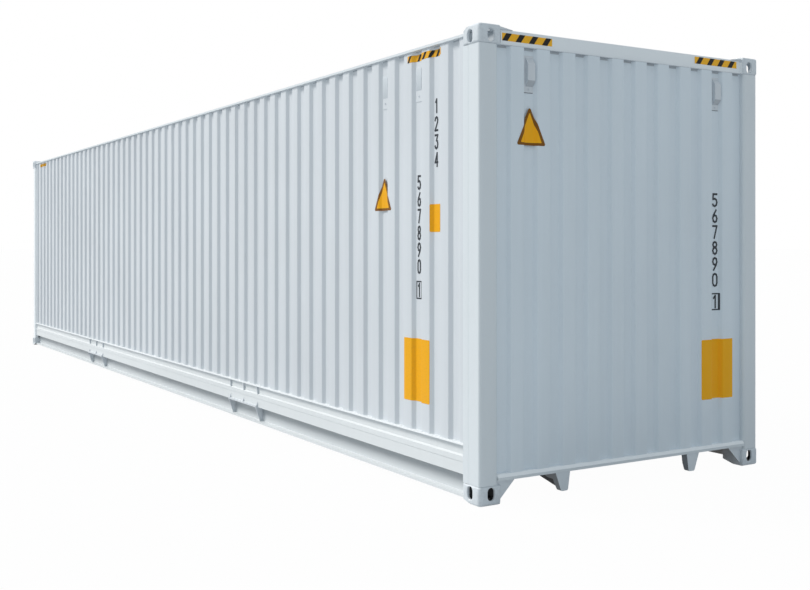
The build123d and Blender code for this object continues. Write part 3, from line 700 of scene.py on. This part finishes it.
def place_casting(node, shape, low_level):
    """Copy the casting to one corner, mirrored so that its outer faces look outward."""
    low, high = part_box(node)
    mesh = shape.copy()
    for v in mesh.vertices:
        x = high[0] - v.co.x if high[0] > 0 else low[0] + v.co.x
        y = low[1] + v.co.y if low[1] < 0 else high[1] - v.co.y
        z = low[2] + v.co.z if low_level else high[2] - v.co.z
        v.co = (x, y, z)
    piece = link_object("casting_" + node.removeprefix("fitting_"), mesh)
    tidy_normals(piece)
    finish_piece(piece, casting_paint, replaces=(node,), smooth_angle=35)
    if low_level:
        shade_hollow(piece, low, high)


def make_castings():
    for level in ("bottom", "top"):
        low_level = level == "bottom"
        shape = casting_mesh(low_level)
        for end in ("front", "rear"):
            for side, _ in SIDES:
                place_casting(f"fitting_{end}_{level}_{side}", shape, low_level)


make_castings()


# Marks laid on the sheets: flat outlines cut at every bend, then pressed onto the wave

FILM_LIFT = 0.0006
FILM_THICKNESS = 0.0003
SECOND_LIFT = 2 * FILM_LIFT  # for a film on top of another
CORNER_STEPS = 5


def depth_on(path, along):
    """Depth of the outer surface at a distance along the sheet."""
    for first, second in zip(path, path[1:]):
        if first.x <= along <= second.x and second.x - first.x > SAME_PLACE:
            share = (along - first.x) / (second.x - first.x)
            return first.y + (second.y - first.y) * share
    return path[0].y


def unroll(path, start, distance):
    """Where a tape that starts at start has reached after a distance over the bends."""
    place = Vector((start, depth_on(path, start)))
    forward = 1 if distance > 0 else -1
    ahead = [p for p in path[::forward] if (p.x - start) * forward > 0]
    left = abs(distance)
    for point in ahead:
        step = (point - place).length
        if step >= left:
            return place.x + (point.x - place.x) * left / step
        left -= step
        place = point
    return place.x


def film(name, shell, wall, material, lift=FILM_LIFT):
    """Press a flat bmesh, drawn as (along, up, 0), onto a wall as a thin closed film."""
    path, place = wall
    low = min(v.co.x for v in shell.verts)
    high = max(v.co.x for v in shell.verts)
    for bend in path:
        if low < bend.x < high:
            everything = shell.verts[:] + shell.edges[:] + shell.faces[:]
            bmesh.ops.bisect_plane(shell, geom=everything, plane_co=(bend.x, 0, 0),
                                   plane_no=(1, 0, 0))
    bmesh.ops.remove_doubles(shell, verts=shell.verts, dist=SAME_PLACE)
    shell.verts.index_update()
    size = len(shell.verts)
    vertices = []
    for raised in (lift + FILM_THICKNESS, lift):
        vertices += [place(v.co.x, depth_on(path, v.co.x) - raised, v.co.y) for v in shell.verts]
    faces = []
    for face in shell.faces:
        loop = [v.index for v in face.verts]
        faces.append(loop)
        faces.append([size + i for i in reversed(loop)])
    for edge in shell.edges:
        if len(edge.link_faces) == 1:
            first, second = edge.verts[0].index, edge.verts[1].index
            faces.append((first, second, size + second, size + first))
    shell.free()
    finish_piece(mesh_piece(name, vertices, faces), material, smooth_angle=40)


def flat_polygon(points):
    """A flat polygon as a bmesh, from (along, up) corners."""
    shell = bmesh.new()
    shell.faces.new([shell.verts.new((along, up, 0)) for along, up in points])
    return shell


def rounded_polygon(points, radius):
    """A flat polygon with rounded corners."""
    count = len(points)
    corners = []
    for index in range(count):
        trio = [points[(index + k) % count] for k in (-1, 0, 1)]
        corners.extend(round_corners(trio, radius, CORNER_STEPS)[1:-1])
    return flat_polygon([(p.x, p.y) for p in corners])


def rectangle(left, right, low, high, radius):
    return rounded_polygon([(left, low), (right, low), (right, high), (left, high)], radius)


# Each surface that carries marks: its path of (along, depth), and how a mark is placed on it
HEADER_SETBACK = 0.010  # the header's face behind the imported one
header_low, header_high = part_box("front_header")
header_face = header_high[0] - HEADER_SETBACK


def on_header(along, into, up):
    return (header_face - into, along, up)


RIGHT_WALL = (wave_path(SIDE_SPAN, SIDE_WAVE), on_right_wall)
FRONT_WALL = (wave_path(FRONT_SPAN, END_WAVE), on_front_wall)
HEADER = ([Vector((-HALF_LENGTH, 0)), Vector((HALF_LENGTH, 0))], on_header)

# Hazard tape: a yellow strip with black bars leaning to the right, the bars given by their middles
TAPE_LEAN = 0.033
TAPE_CORNER = 0.001
BAR_LIFT = 2.5 * FILM_LIFT
SIDE_TAPE_START = 0.453
SIDE_TAPE_LENGTH = 0.430
SIDE_TAPE = dict(low=2.774, height=0.044, bars=(0.065, 0.133, 0.208, 0.305, 0.407),
                 bar_width=0.026, ground=yellow_film)
HEADER_TAPE = dict(height=0.047, bar_width=0.042, ground=lightened_header_film)


def hazard_tape(name, wall, start, length, low, height, bars, bar_width, ground):
    """Tape from start over the surface length, which is negative towards -X or -Y."""
    direction = 1 if length > 0 else -1

    def at(distance):
        distance = min(max(distance, 0.0), abs(length))
        return unroll(wall[0], start, direction * distance) if distance else start

    ends = sorted((start, at(abs(length))))
    film(name + "_ground", rectangle(*ends, low, low + height, TAPE_CORNER), wall, ground)
    lean = direction * TAPE_LEAN / 2
    for number, middle in enumerate(bars, 1):
        near, far = middle - bar_width / 2, middle + bar_width / 2
        bar = flat_polygon([
            (at(near - lean), low),
            (at(far - lean), low),
            (at(far + lean), low + height),
            (at(near + lean), low + height),
        ])
        film(f"{name}_bar_{number}", bar, wall, black_film, BAR_LIFT)


hazard_tape("side_tape_front", RIGHT_WALL,
            start=behind_front(SIDE_TAPE_START), length=-SIDE_TAPE_LENGTH, **SIDE_TAPE)
hazard_tape("side_tape_rear", RIGHT_WALL,
            start=-behind_front(SIDE_TAPE_START), length=SIDE_TAPE_LENGTH, **SIDE_TAPE)
hazard_tape("header_tape_right", HEADER, start=-1.037, length=0.388, low=2.8065,
            bars=(0.036, 0.139, 0.241, 0.344), **HEADER_TAPE)
hazard_tape("header_tape_left", HEADER, start=0.604, length=0.415, low=2.8140,
            bars=(0.049, 0.157, 0.257, 0.360), **HEADER_TAPE)


# Plain counting digits in columns, drawn as strokes on a grid of 2 by 4 units a digit
DIGIT_STROKES = {
    "0": [[(0, 1), (0, 3), (0.3, 3.75), (1, 4), (1.7, 3.75), (2, 3),
           (2, 1), (1.7, 0.25), (1, 0), (0.3, 0.25), (0, 1)]],
    "1": [[(0.4, 3.2), (1.2, 4), (1.2, 0)]],
    "2": [[(0, 3.1), (0.3, 3.75), (1, 4), (1.7, 3.75), (2, 3.1), (1.8, 2.4), (0, 0), (2, 0)]],
    "3": [[(0, 4), (2, 4), (1, 2.4), (1.7, 2.1), (2, 1.2), (1.7, 0.3),
           (1, 0), (0.3, 0.2), (0, 0.7)]],
    "4": [[(1.5, 0), (1.5, 4), (0, 1.2), (2, 1.2)]],
    "5": [[(2, 4), (0.2, 4), (0.1, 2.3), (1, 2.5), (1.7, 2.1), (2, 1.3),
           (1.7, 0.4), (1, 0), (0.3, 0.2), (0, 0.6)]],
    "6": [[(1.6, 4), (0.4, 2.4), (0, 1.3), (0.3, 0.3), (1, 0), (1.7, 0.3),
           (2, 1.2), (1.7, 2.0), (1, 2.3), (0.3, 2.0)]],
    "7": [[(0, 4), (2, 4), (0.7, 0)]],
    "8": [[(1, 2.2), (0.35, 2.5), (0.1, 3.1), (0.35, 3.75), (1, 4),
           (1.65, 3.75), (1.9, 3.1), (1.65, 2.5), (1, 2.2)],
          [(1, 2.2), (0.3, 1.8), (0, 1.1), (0.3, 0.3), (1, 0),
           (1.7, 0.3), (2, 1.1), (1.7, 1.8), (1, 2.2)]],
    "9": [[(0.4, 0), (1.6, 1.6), (2, 2.7), (1.7, 3.7), (1, 4), (0.3, 3.7),
           (0, 2.8), (0.3, 2.0), (1, 1.7), (1.7, 2.0)]],
}
STROKE = 0.014
STROKE_OVERLAP = 0.4  # a bar passes its ends by this share of its width
LIFT_STEP = 0.15  # crossing bars lie at different heights, by this share of a film's lift
LIFT_LEVELS = 6
DIGIT_HEIGHT = 0.084
BOXED_HEIGHT = 0.083
BOX_MARGIN = 0.014
BOX_LINE = 0.009
SIDE_DIGIT_WIDTH = 0.030
END_DIGIT_WIDTH = 0.040


def press_strokes(name, points, width, wall, first, levels):
    """Press a path on a wall as short bars, numbered on from the first."""
    for number, (near, far) in enumerate(zip(points, points[1:]), first):
        near, far = Vector(near), Vector(far)
        direction = (far - near).normalized()
        side = Vector((-direction.y, direction.x)) * width / 2
        near = near - direction * width * STROKE_OVERLAP
        far = far + direction * width * STROKE_OVERLAP
        quad = flat_polygon([tuple(p) for p in (near + side, far + side, far - side, near - side)])
        lift = FILM_LIFT * (1 + LIFT_STEP * (number % levels))
        film(f"{name}_{number + 1}", quad, wall, figure_film, lift)


def digit(name, figure, wall, middle, low, width, height):
    """One figure, its bars pressed on the wall one over the other."""
    pressed = 0
    for stroke in DIGIT_STROKES[figure]:
        left = middle - width / 2
        points = [(left + a * width / 2, low + u * height / 4) for a, u in stroke]
        press_strokes(name, points, STROKE, wall, pressed, LIFT_LEVELS)
        pressed += len(stroke) - 1


def digit_column(name, figures, wall, middle, width, top, step):
    for number, figure in enumerate(figures):
        low = top - DIGIT_HEIGHT - number * step
        digit(f"{name}_{number + 1}", figure, wall, middle, low, width, DIGIT_HEIGHT)


def boxed_digit(name, figure, wall, middle, width, low):
    """One figure with a thin square frame round it."""
    digit(name, figure, wall, middle, low, width, BOXED_HEIGHT)
    near, far = middle - width / 2 - BOX_MARGIN, middle + width / 2 + BOX_MARGIN
    under, over = low - BOX_MARGIN, low + BOXED_HEIGHT + BOX_MARGIN
    corners = [(near, under), (far, under), (far, over), (near, over), (near, under)]
    press_strokes(name + "_frame", corners, BOX_LINE, wall, 0, 2)


upper_middle, lower_middle, end_middle = behind_front(0.535), behind_front(0.743), 0.825
digit_column("side_upper_digit", "1234", RIGHT_WALL, upper_middle, SIDE_DIGIT_WIDTH,
             top=2.500, step=0.115)
digit_column("side_lower_digit", "567890", RIGHT_WALL, lower_middle, SIDE_DIGIT_WIDTH,
             top=2.019, step=0.1105)
boxed_digit("side_boxed_digit", "1", RIGHT_WALL, lower_middle, SIDE_DIGIT_WIDTH, low=1.229)
digit_column("end_digit", "567890", FRONT_WALL, end_middle, END_DIGIT_WIDTH,
             top=1.922, step=0.1115)
boxed_digit("end_boxed_digit", "1", FRONT_WALL, end_middle, END_DIGIT_WIDTH, low=1.129)


# Blank plates and triangles in the places of notices
BRIDGE_SHARE = 0.6  # stiff foil sinks into the wave by this share of its depth
PLATE_CORNER = 0.008
TRIANGLE_CORNER = 0.010
FIELD_CORNER = 0.004
FIELD_INSET = 0.017
SLANT_INSET = 1.9  # the same inset, measured level towards a slanting edge
APEX_INSET = 2.2  # and down from the apex


def blank_plate(name, wall, across, up, plate_film):
    film(name, rectangle(*across, *up, PLATE_CORNER), wall, plate_film)


def blank_triangle(name, wall, middle, half_base, low, apex, field_film):
    """A blank triangle of stiff foil with a dark rim, which half bridges the wave."""
    path, place = wall
    bridge = ([Vector((point.x, point.y * BRIDGE_SHARE)) for point in path], place)
    corners = [(middle - half_base, low), (middle + half_base, low), (middle, apex)]
    film(name, rounded_polygon(corners, TRIANGLE_CORNER), bridge, rim_film)
    half_field = half_base - FIELD_INSET * SLANT_INSET
    field = [
        (middle - half_field, low + FIELD_INSET),
        (middle + half_field, low + FIELD_INSET),
        (middle, apex - FIELD_INSET * APEX_INSET),
    ]
    film(name + "_field", rounded_polygon(field, FIELD_CORNER), bridge, field_film, SECOND_LIFT)


blank_plate("side_plate_large", RIGHT_WALL, (behind_front(0.899), behind_front(0.585)),
            (0.538, 0.951), amber_film)
blank_plate("side_plate_small", RIGHT_WALL, (behind_front(0.585), behind_front(0.458)),
            (1.650, 1.829), amber_film)
blank_triangle("side_triangle", RIGHT_WALL, behind_front(1.181), half_base=0.117,
               low=1.804, apex=2.038, field_film=amber_film)
blank_plate("end_plate", FRONT_WALL, (0.667, 0.976), (0.497, 0.910), lightened_end_film)
blank_triangle("end_triangle", FRONT_WALL, -0.818, half_base=0.114,
               low=2.180, apex=2.424, field_film=lightened_end_film)


# Trim of the front frame and the side rails: the header's face stands further back than the
# packed one and takes lighter paint as painted light, and thin layers of near-white or grey paint
# cover a few of the imported faces as painted highlights and painted shade

SHEEN = 0.0006  # thickness of a layer of paint
ROOT = 0.002  # how far a layer reaches into the steel behind it
HEADER_ROUND = 0.0014
HEADER_FOOT = 0.004  # height of a flange at the header's foot
HEADER_STEP = 0.001  # the flange stands this proud of the beam, whose foot lies this much higher
SOFFIT_DROP = 0.013
SOFFIT_ROOT = 0.0025
SOFFIT_SETBACK = 0.001
SILL_BEVEL = 0.018
CAP_INSET = 0.001
FILLER_REACH = (0.1205, 0.149)  # from the container's side
FILLER_PROUD = 0.003
# The bracket's corners as (X, Z), and its two faces as Y
BRACKET_OUTLINE = ((6.05, 0.142), (6.05, 0.030), (5.97, 0.023), (5.72, 0.078), (5.72, 0.142))
BRACKET_PLACE = (-0.5285, -0.5205)
RECESS_SHADE = 0.009  # height of the painted shade at a recess's top
RECESS_MARGIN = 0.1
FLANGE_REACH = (0.180, 0.125)  # from the container's end
RAIL_EDGE_INSET = 0.0100
RAIL_EDGE_RISE = (0.341, 0.3525)
FLANK_RISE = (0.006, 0.038)  # above the header's foot, and below the casting's top
FLANK_INSET = 0.004
RIDGE_FACE = front_high[0]
RECESS_FACE = front_high[0] - END_WAVE["depth"]
SIDE_RECESS = -right_low[1] - SIDE_WAVE["depth"]


def make_header():
    back, left, low = header_low
    right, high = header_high[1:]
    box_piece("front_header_beam", lightened_header_paint,
              ((back, left, low + HEADER_STEP), (header_face, right, high)),
              ((back, left, low), (header_face + HEADER_STEP, right, low + HEADER_FOOT)),
              replaces=("front_header",), rounding=HEADER_ROUND)
    # The soffit and a strip down the tops of the recesses below it are painted shade in grey paint.
    box_piece("header_soffit_shade", painted_shade_paint,
              ((RECESS_FACE - ROOT, left, low - SHEEN),
               (RIDGE_FACE - SOFFIT_SETBACK, right, low + SOFFIT_ROOT)),
              ((RECESS_FACE - ROOT, left, low - SOFFIT_DROP), (RECESS_FACE + ROOT, right, low)))


def make_sill_trim():
    """A painted highlight along the sill's bevel and ledge, and fillers between sill and posts."""
    low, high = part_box("front_sill")
    outline = [
        (high[0] + SHEEN / 2, high[2] - SILL_BEVEL),
        (RIDGE_FACE + SHEEN, high[2] + SHEEN),
        (RECESS_FACE - ROOT, high[2] + SHEEN),
        (RECESS_FACE - ROOT, high[2]),
        (RIDGE_FACE, high[2]),
        (high[0] - CAP_INSET, high[2] - SILL_BEVEL),
    ]
    cap = prism(outline, (low[1] + CAP_INSET, high[1] - CAP_INSET), lambda a, u, d: (a, d, u))
    finish_piece(loose_object("sill_highlight_cap", cap), near_white_highlight_paint)
    for side, sign in SIDES:
        ends = sorted(sign * (HALF_WIDTH - reach) for reach in FILLER_REACH)
        box_piece("sill_filler_" + side, trim_paint,
                  ((RECESS_FACE, ends[0], low[2]), (RIDGE_FACE + FILLER_PROUD, ends[1], high[2])))


def make_tunnel_bracket():
    """A dark plate behind the right tunnel foot, the one where the photograph shows it."""
    bracket = prism(BRACKET_OUTLINE, BRACKET_PLACE, lambda a, u, d: (a, d, u))
    # The plate's dark paint is painted shade under the floor.
    finish_piece(loose_object("tunnel_bracket_shade", bracket), hollow_painted_shade)


def paint_layer(name, paint, face, sign, along, up, proud=SHEEN, root=0.003, slot="body_paint"):
    """A thin layer on an upright face that looks towards sign times Y."""
    ends = sorted((face + sign * proud, face - sign * root))
    box_piece(name, paint, ((along[0], ends[0], up[0]), (along[1], ends[1], up[1])), slot=slot)


def make_side_trim():
    """Painted shade at the tops of the recesses, outer flanges of the front posts and painted
    highlights along the rails' ledges.
    """
    recesses = (SIDE_SPAN[0] + RECESS_MARGIN, SIDE_SPAN[1] - RECESS_MARGIN)
    flange = [behind_front(reach) for reach in FLANGE_REACH]
    for side, sign in SIDES:
        paint_layer("recess_top_shade_" + side, painted_shade_paint, sign * SIDE_RECESS, sign, recesses,
                    (right_high[2] - RECESS_SHADE, right_high[2]), proud=0.001, root=ROOT)
        low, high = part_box("post_front_" + side)
        face = low[1] if sign < 0 else high[1]
        paint_layer("post_flange_" + side, trim_paint, face, sign, flange, (low[2], high[2]))
    for side, sign in SIDES:
        paint_layer("rail_ledge_highlight_" + side, near_white_highlight_paint, sign * (HALF_WIDTH - RAIL_EDGE_INSET), sign,
                    SIDE_SPAN, RAIL_EDGE_RISE)


def make_casting_flanks():
    """Painted highlights on the inner flanks of the top castings beside the header."""
    for side, sign in SIDES:
        low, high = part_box("fitting_front_top_" + side)
        flank = high[1] if sign < 0 else low[1]
        paint_layer("casting_flank_highlight_" + side, near_white_highlight_paint, flank, -sign,
                    (header_face, high[0] - FLANK_INSET),
                    (header_low[2] + FLANK_RISE[0], high[2] - FLANK_RISE[1]),
                    root=0.0, slot="casting_paint")


make_header()
make_sill_trim()
make_tunnel_bracket()
make_side_trim()
make_casting_flanks()


# Ventilator hoods with a base plate and one bolt. A hood's heights are measured down from its
# plate's top, and a deep hood also gets painted shade: grey paint on its underside and a dark strip
# in the gap below the plate.

VENT_TOP = 2.735
VENT_PLATE = (0.070, 0.227, 0.003)  # width, height, steel
BOLT_RADIUS = 0.005
BOLT_HEIGHT = 0.004
BOLT_STRETCH = 0.0002  # keeps the two half circles of the bolt's outline apart
BOLT_STEPS = 5
FRONT_HOOD = dict(width=0.056, depth=0.030, shift=0.005, top=0.012, face_top=0.050,
                  face_low=0.155, low=0.190)
SIDE_HOOD = dict(width=0.064, depth=0.006, shift=0.0, top=0.004, face_top=0.014,
                 face_low=0.146, low=0.154)
UNDERSIDE = 0.001
GAP_HEIGHT = 0.004
GAP_SHORTER = 0.002  # the gap ends this far before the plate's side
GAP_DEEPER = 0.001  # and this far behind its face
FRONT_VENT_RECESS = 2
SIDE_VENT_RECESSES = (3, 5)


def recess_place(span, wave, number):
    """The middle of a recess, counted back from the span's end: 1 lies beyond the last ridge."""
    return ridge_middles(span, wave)[-number] + wave["pitch"] / 2


def cuboid(place, across, up, out):
    """A box drawn in a wall's own directions: place(across, up, out)."""
    corners = [(across[0], up[0]), (across[1], up[0]), (across[1], up[1]), (across[0], up[1])]
    return prism(corners, out, place)


def hood_prism(place, hood, outline):
    """A prism as wide as the hood, from an outline of (up, out)."""
    ends = (hood["shift"] - hood["width"] / 2, hood["shift"] + hood["width"] / 2)
    return prism(outline, ends, lambda up, out, across: place(across, up, out))


def make_ventilator(name, place, hood, paint, replaces=()):
    """place turns (across, up, out) into a point, measured from the plate's middle at its top."""
    width, height, steel = VENT_PLATE
    outline = [(-hood["top"], steel), (-hood["face_top"], hood["depth"]),
               (-hood["face_low"], hood["depth"]), (-hood["low"], steel)]
    shell = hood_prism(place, hood, outline)
    finish_piece(loose_object(name + "_hood", shell), paint, replaces=replaces)
    plate = cuboid(place, (-width / 2, width / 2), (-height, 0.0), (0.0, steel))
    finish_piece(loose_object(name + "_plate", plate), body_paint)
    bolt_middle = (hood["low"] + height) / 2
    bolt = prism(stadium(2 * BOLT_RADIUS + BOLT_STRETCH, 2 * BOLT_RADIUS, BOLT_STEPS),
                 (steel, steel + BOLT_HEIGHT), lambda a, u, d: place(a, u - bolt_middle, d))
    finish_piece(loose_object(name + "_bolt", bolt), vent_paint)


def shade_ventilator(name, place, hood):
    """Painted shade on a deep hood: a dark strip in the gap below its plate, and grey paint on its
    underside.
    """
    width, height, steel = VENT_PLATE
    gap = cuboid(place, (-width / 2, width / 2 - GAP_SHORTER), (-height - GAP_HEIGHT, -height),
                 (0.0, steel - GAP_DEEPER))
    finish_piece(loose_object(name + "_gap_shade", gap), underframe_painted_shade)
    outline = [(-hood["face_low"], hood["depth"]), (-hood["low"], steel),
               (-hood["low"], steel + UNDERSIDE), (-hood["face_low"], hood["depth"] + UNDERSIDE)]
    under = hood_prism(place, hood, outline)
    finish_piece(loose_object(name + "_underside_shade", under), painted_shade_paint)


def front_vent_place(y):
    return lambda across, up, out: (RECESS_FACE + out, y + across, VENT_TOP + up)


def side_vent_place(x, sign):
    return lambda across, up, out: (x + across, sign * (SIDE_RECESS + out), VENT_TOP + up)


def make_ventilators():
    front_y = recess_place(FRONT_SPAN, END_WAVE, FRONT_VENT_RECESS)
    for side, sign in SIDES:
        name, place = "vent_front_" + side, front_vent_place(sign * front_y)
        make_ventilator(name, place, FRONT_HOOD, body_paint,
                        replaces=("ventilators",) if side == "right" else ())
        shade_ventilator(name, place, FRONT_HOOD)
        for end_name, end in (("front", 1), ("rear", -1)):
            for number in SIDE_VENT_RECESSES:
                x = end * recess_place(SIDE_SPAN, SIDE_WAVE, number)
                make_ventilator(f"vent_side_{side}_{end_name}_{number}",
                                side_vent_place(x, sign), SIDE_HOOD, vent_paint)


make_ventilators()


# Floor, light and camera

FLOOR_REACH = 400.0
FLOOR_DROP = 0.002
FLOOR_COLOUR = (0.49, 0.515, 0.53, 1)
FLOOR_GLOW = 0.98  # share of plain white that the camera sees in the floor
WHITE = (1, 1, 1, 1)
SKY_COLOUR = (0.83, 0.93, 1.0, 1)
SKY_STRENGTH = 0.57
SUN_COLOUR = (1.0, 0.965, 0.925)
SUN_STRENGTH = 2.56
SUN_TOWARDS = Vector((-0.515, -0.525, 0.68))
SUN_SOFTNESS = math.radians(20)
# Camera fitted to the photograph's corners, with the real outside sizes
IMAGE_WIDTH = 810
IMAGE_HEIGHT = 590
FOCAL_PIXELS = 1054.5
HORIZON_PIXEL = 245.5
CAMERA_YAW = math.radians(31.33)
CAMERA_PLACE = (11.229, -4.862, 1.563)


def seen_rays(tree):
    """One for rays that show the studio itself: straight, mirrored and through glass."""
    path = add_node(tree, "LightPath")
    total = path.outputs["Is Camera Ray"]
    for kind in ("Is Glossy Ray", "Is Transmission Ray"):
        total = calculate(tree, "MAXIMUM", total, path.outputs[kind])
    return total


def mix_shaders(tree, share, first, second, output):
    """Send a mix of two shaders to an output node."""
    mix = add_node(tree, "MixShader")
    tree.links.new(share, mix.inputs["Fac"])
    tree.links.new(first.outputs[0], mix.inputs[1])
    tree.links.new(second.outputs[0], mix.inputs[2])
    tree.links.new(mix.outputs[0], output.inputs["Surface"])


def make_floor():
    """A wide pale floor that stays white for the camera and keeps a light shadow."""
    shell = bmesh.new()
    bmesh.ops.create_grid(shell, x_segments=2, y_segments=2, size=FLOOR_REACH)
    floor = loose_object("floor", shell)
    floor.location = (0, 0, -FLOOR_DROP)
    material, tree, shader = new_material("studio_floor")
    shader.inputs["Base Color"].default_value = FLOOR_COLOUR
    shader.inputs["Roughness"].default_value = 0.9
    glow = add_node(tree, "Emission", Color=WHITE)
    share = calculate(tree, "MULTIPLY", seen_rays(tree), FLOOR_GLOW)
    output = [node for node in tree.nodes if node.type == "OUTPUT_MATERIAL"][0]
    mix_shaders(tree, share, shader, glow, output)
    floor.data.materials.append(material)


def make_world():
    """A plain bright sky, white where the camera sees it."""
    world = bpy.data.worlds.new("studio")
    bpy.context.scene.world = world
    world.use_nodes = True
    tree = world.node_tree
    tree.nodes.clear()
    output = add_node(tree, "OutputWorld")
    light = add_node(tree, "Background", Color=SKY_COLOUR, Strength=SKY_STRENGTH)
    seen = add_node(tree, "Background", Color=WHITE, Strength=1.0)
    mix_shaders(tree, seen_rays(tree), light, seen, output)


def make_sun():
    """One soft key light from the far left, high over the long side."""
    sun = bpy.data.lights.new("key", "SUN")
    sun.energy = SUN_STRENGTH
    sun.angle = SUN_SOFTNESS
    sun.color = SUN_COLOUR
    lamp = link_object("key", sun)
    lamp.rotation_euler = SUN_TOWARDS.to_track_quat("Z", "Y").to_euler()


def make_camera():
    camera = bpy.data.cameras.new("camera")
    camera.sensor_width = 36
    camera.sensor_fit = "HORIZONTAL"
    camera.lens = camera.sensor_width * FOCAL_PIXELS / IMAGE_WIDTH
    camera.shift_y = (HORIZON_PIXEL - IMAGE_HEIGHT / 2) / IMAGE_WIDTH
    camera.clip_end = 1000
    view = link_object("camera", camera)
    view.location = CAMERA_PLACE
    view.rotation_euler = (math.radians(90), 0, math.radians(90) - CAMERA_YAW)
    bpy.context.scene.camera = view


make_floor()
make_world()
make_sun()
make_camera()
bpy.context.scene.view_settings.view_transform = "Standard"
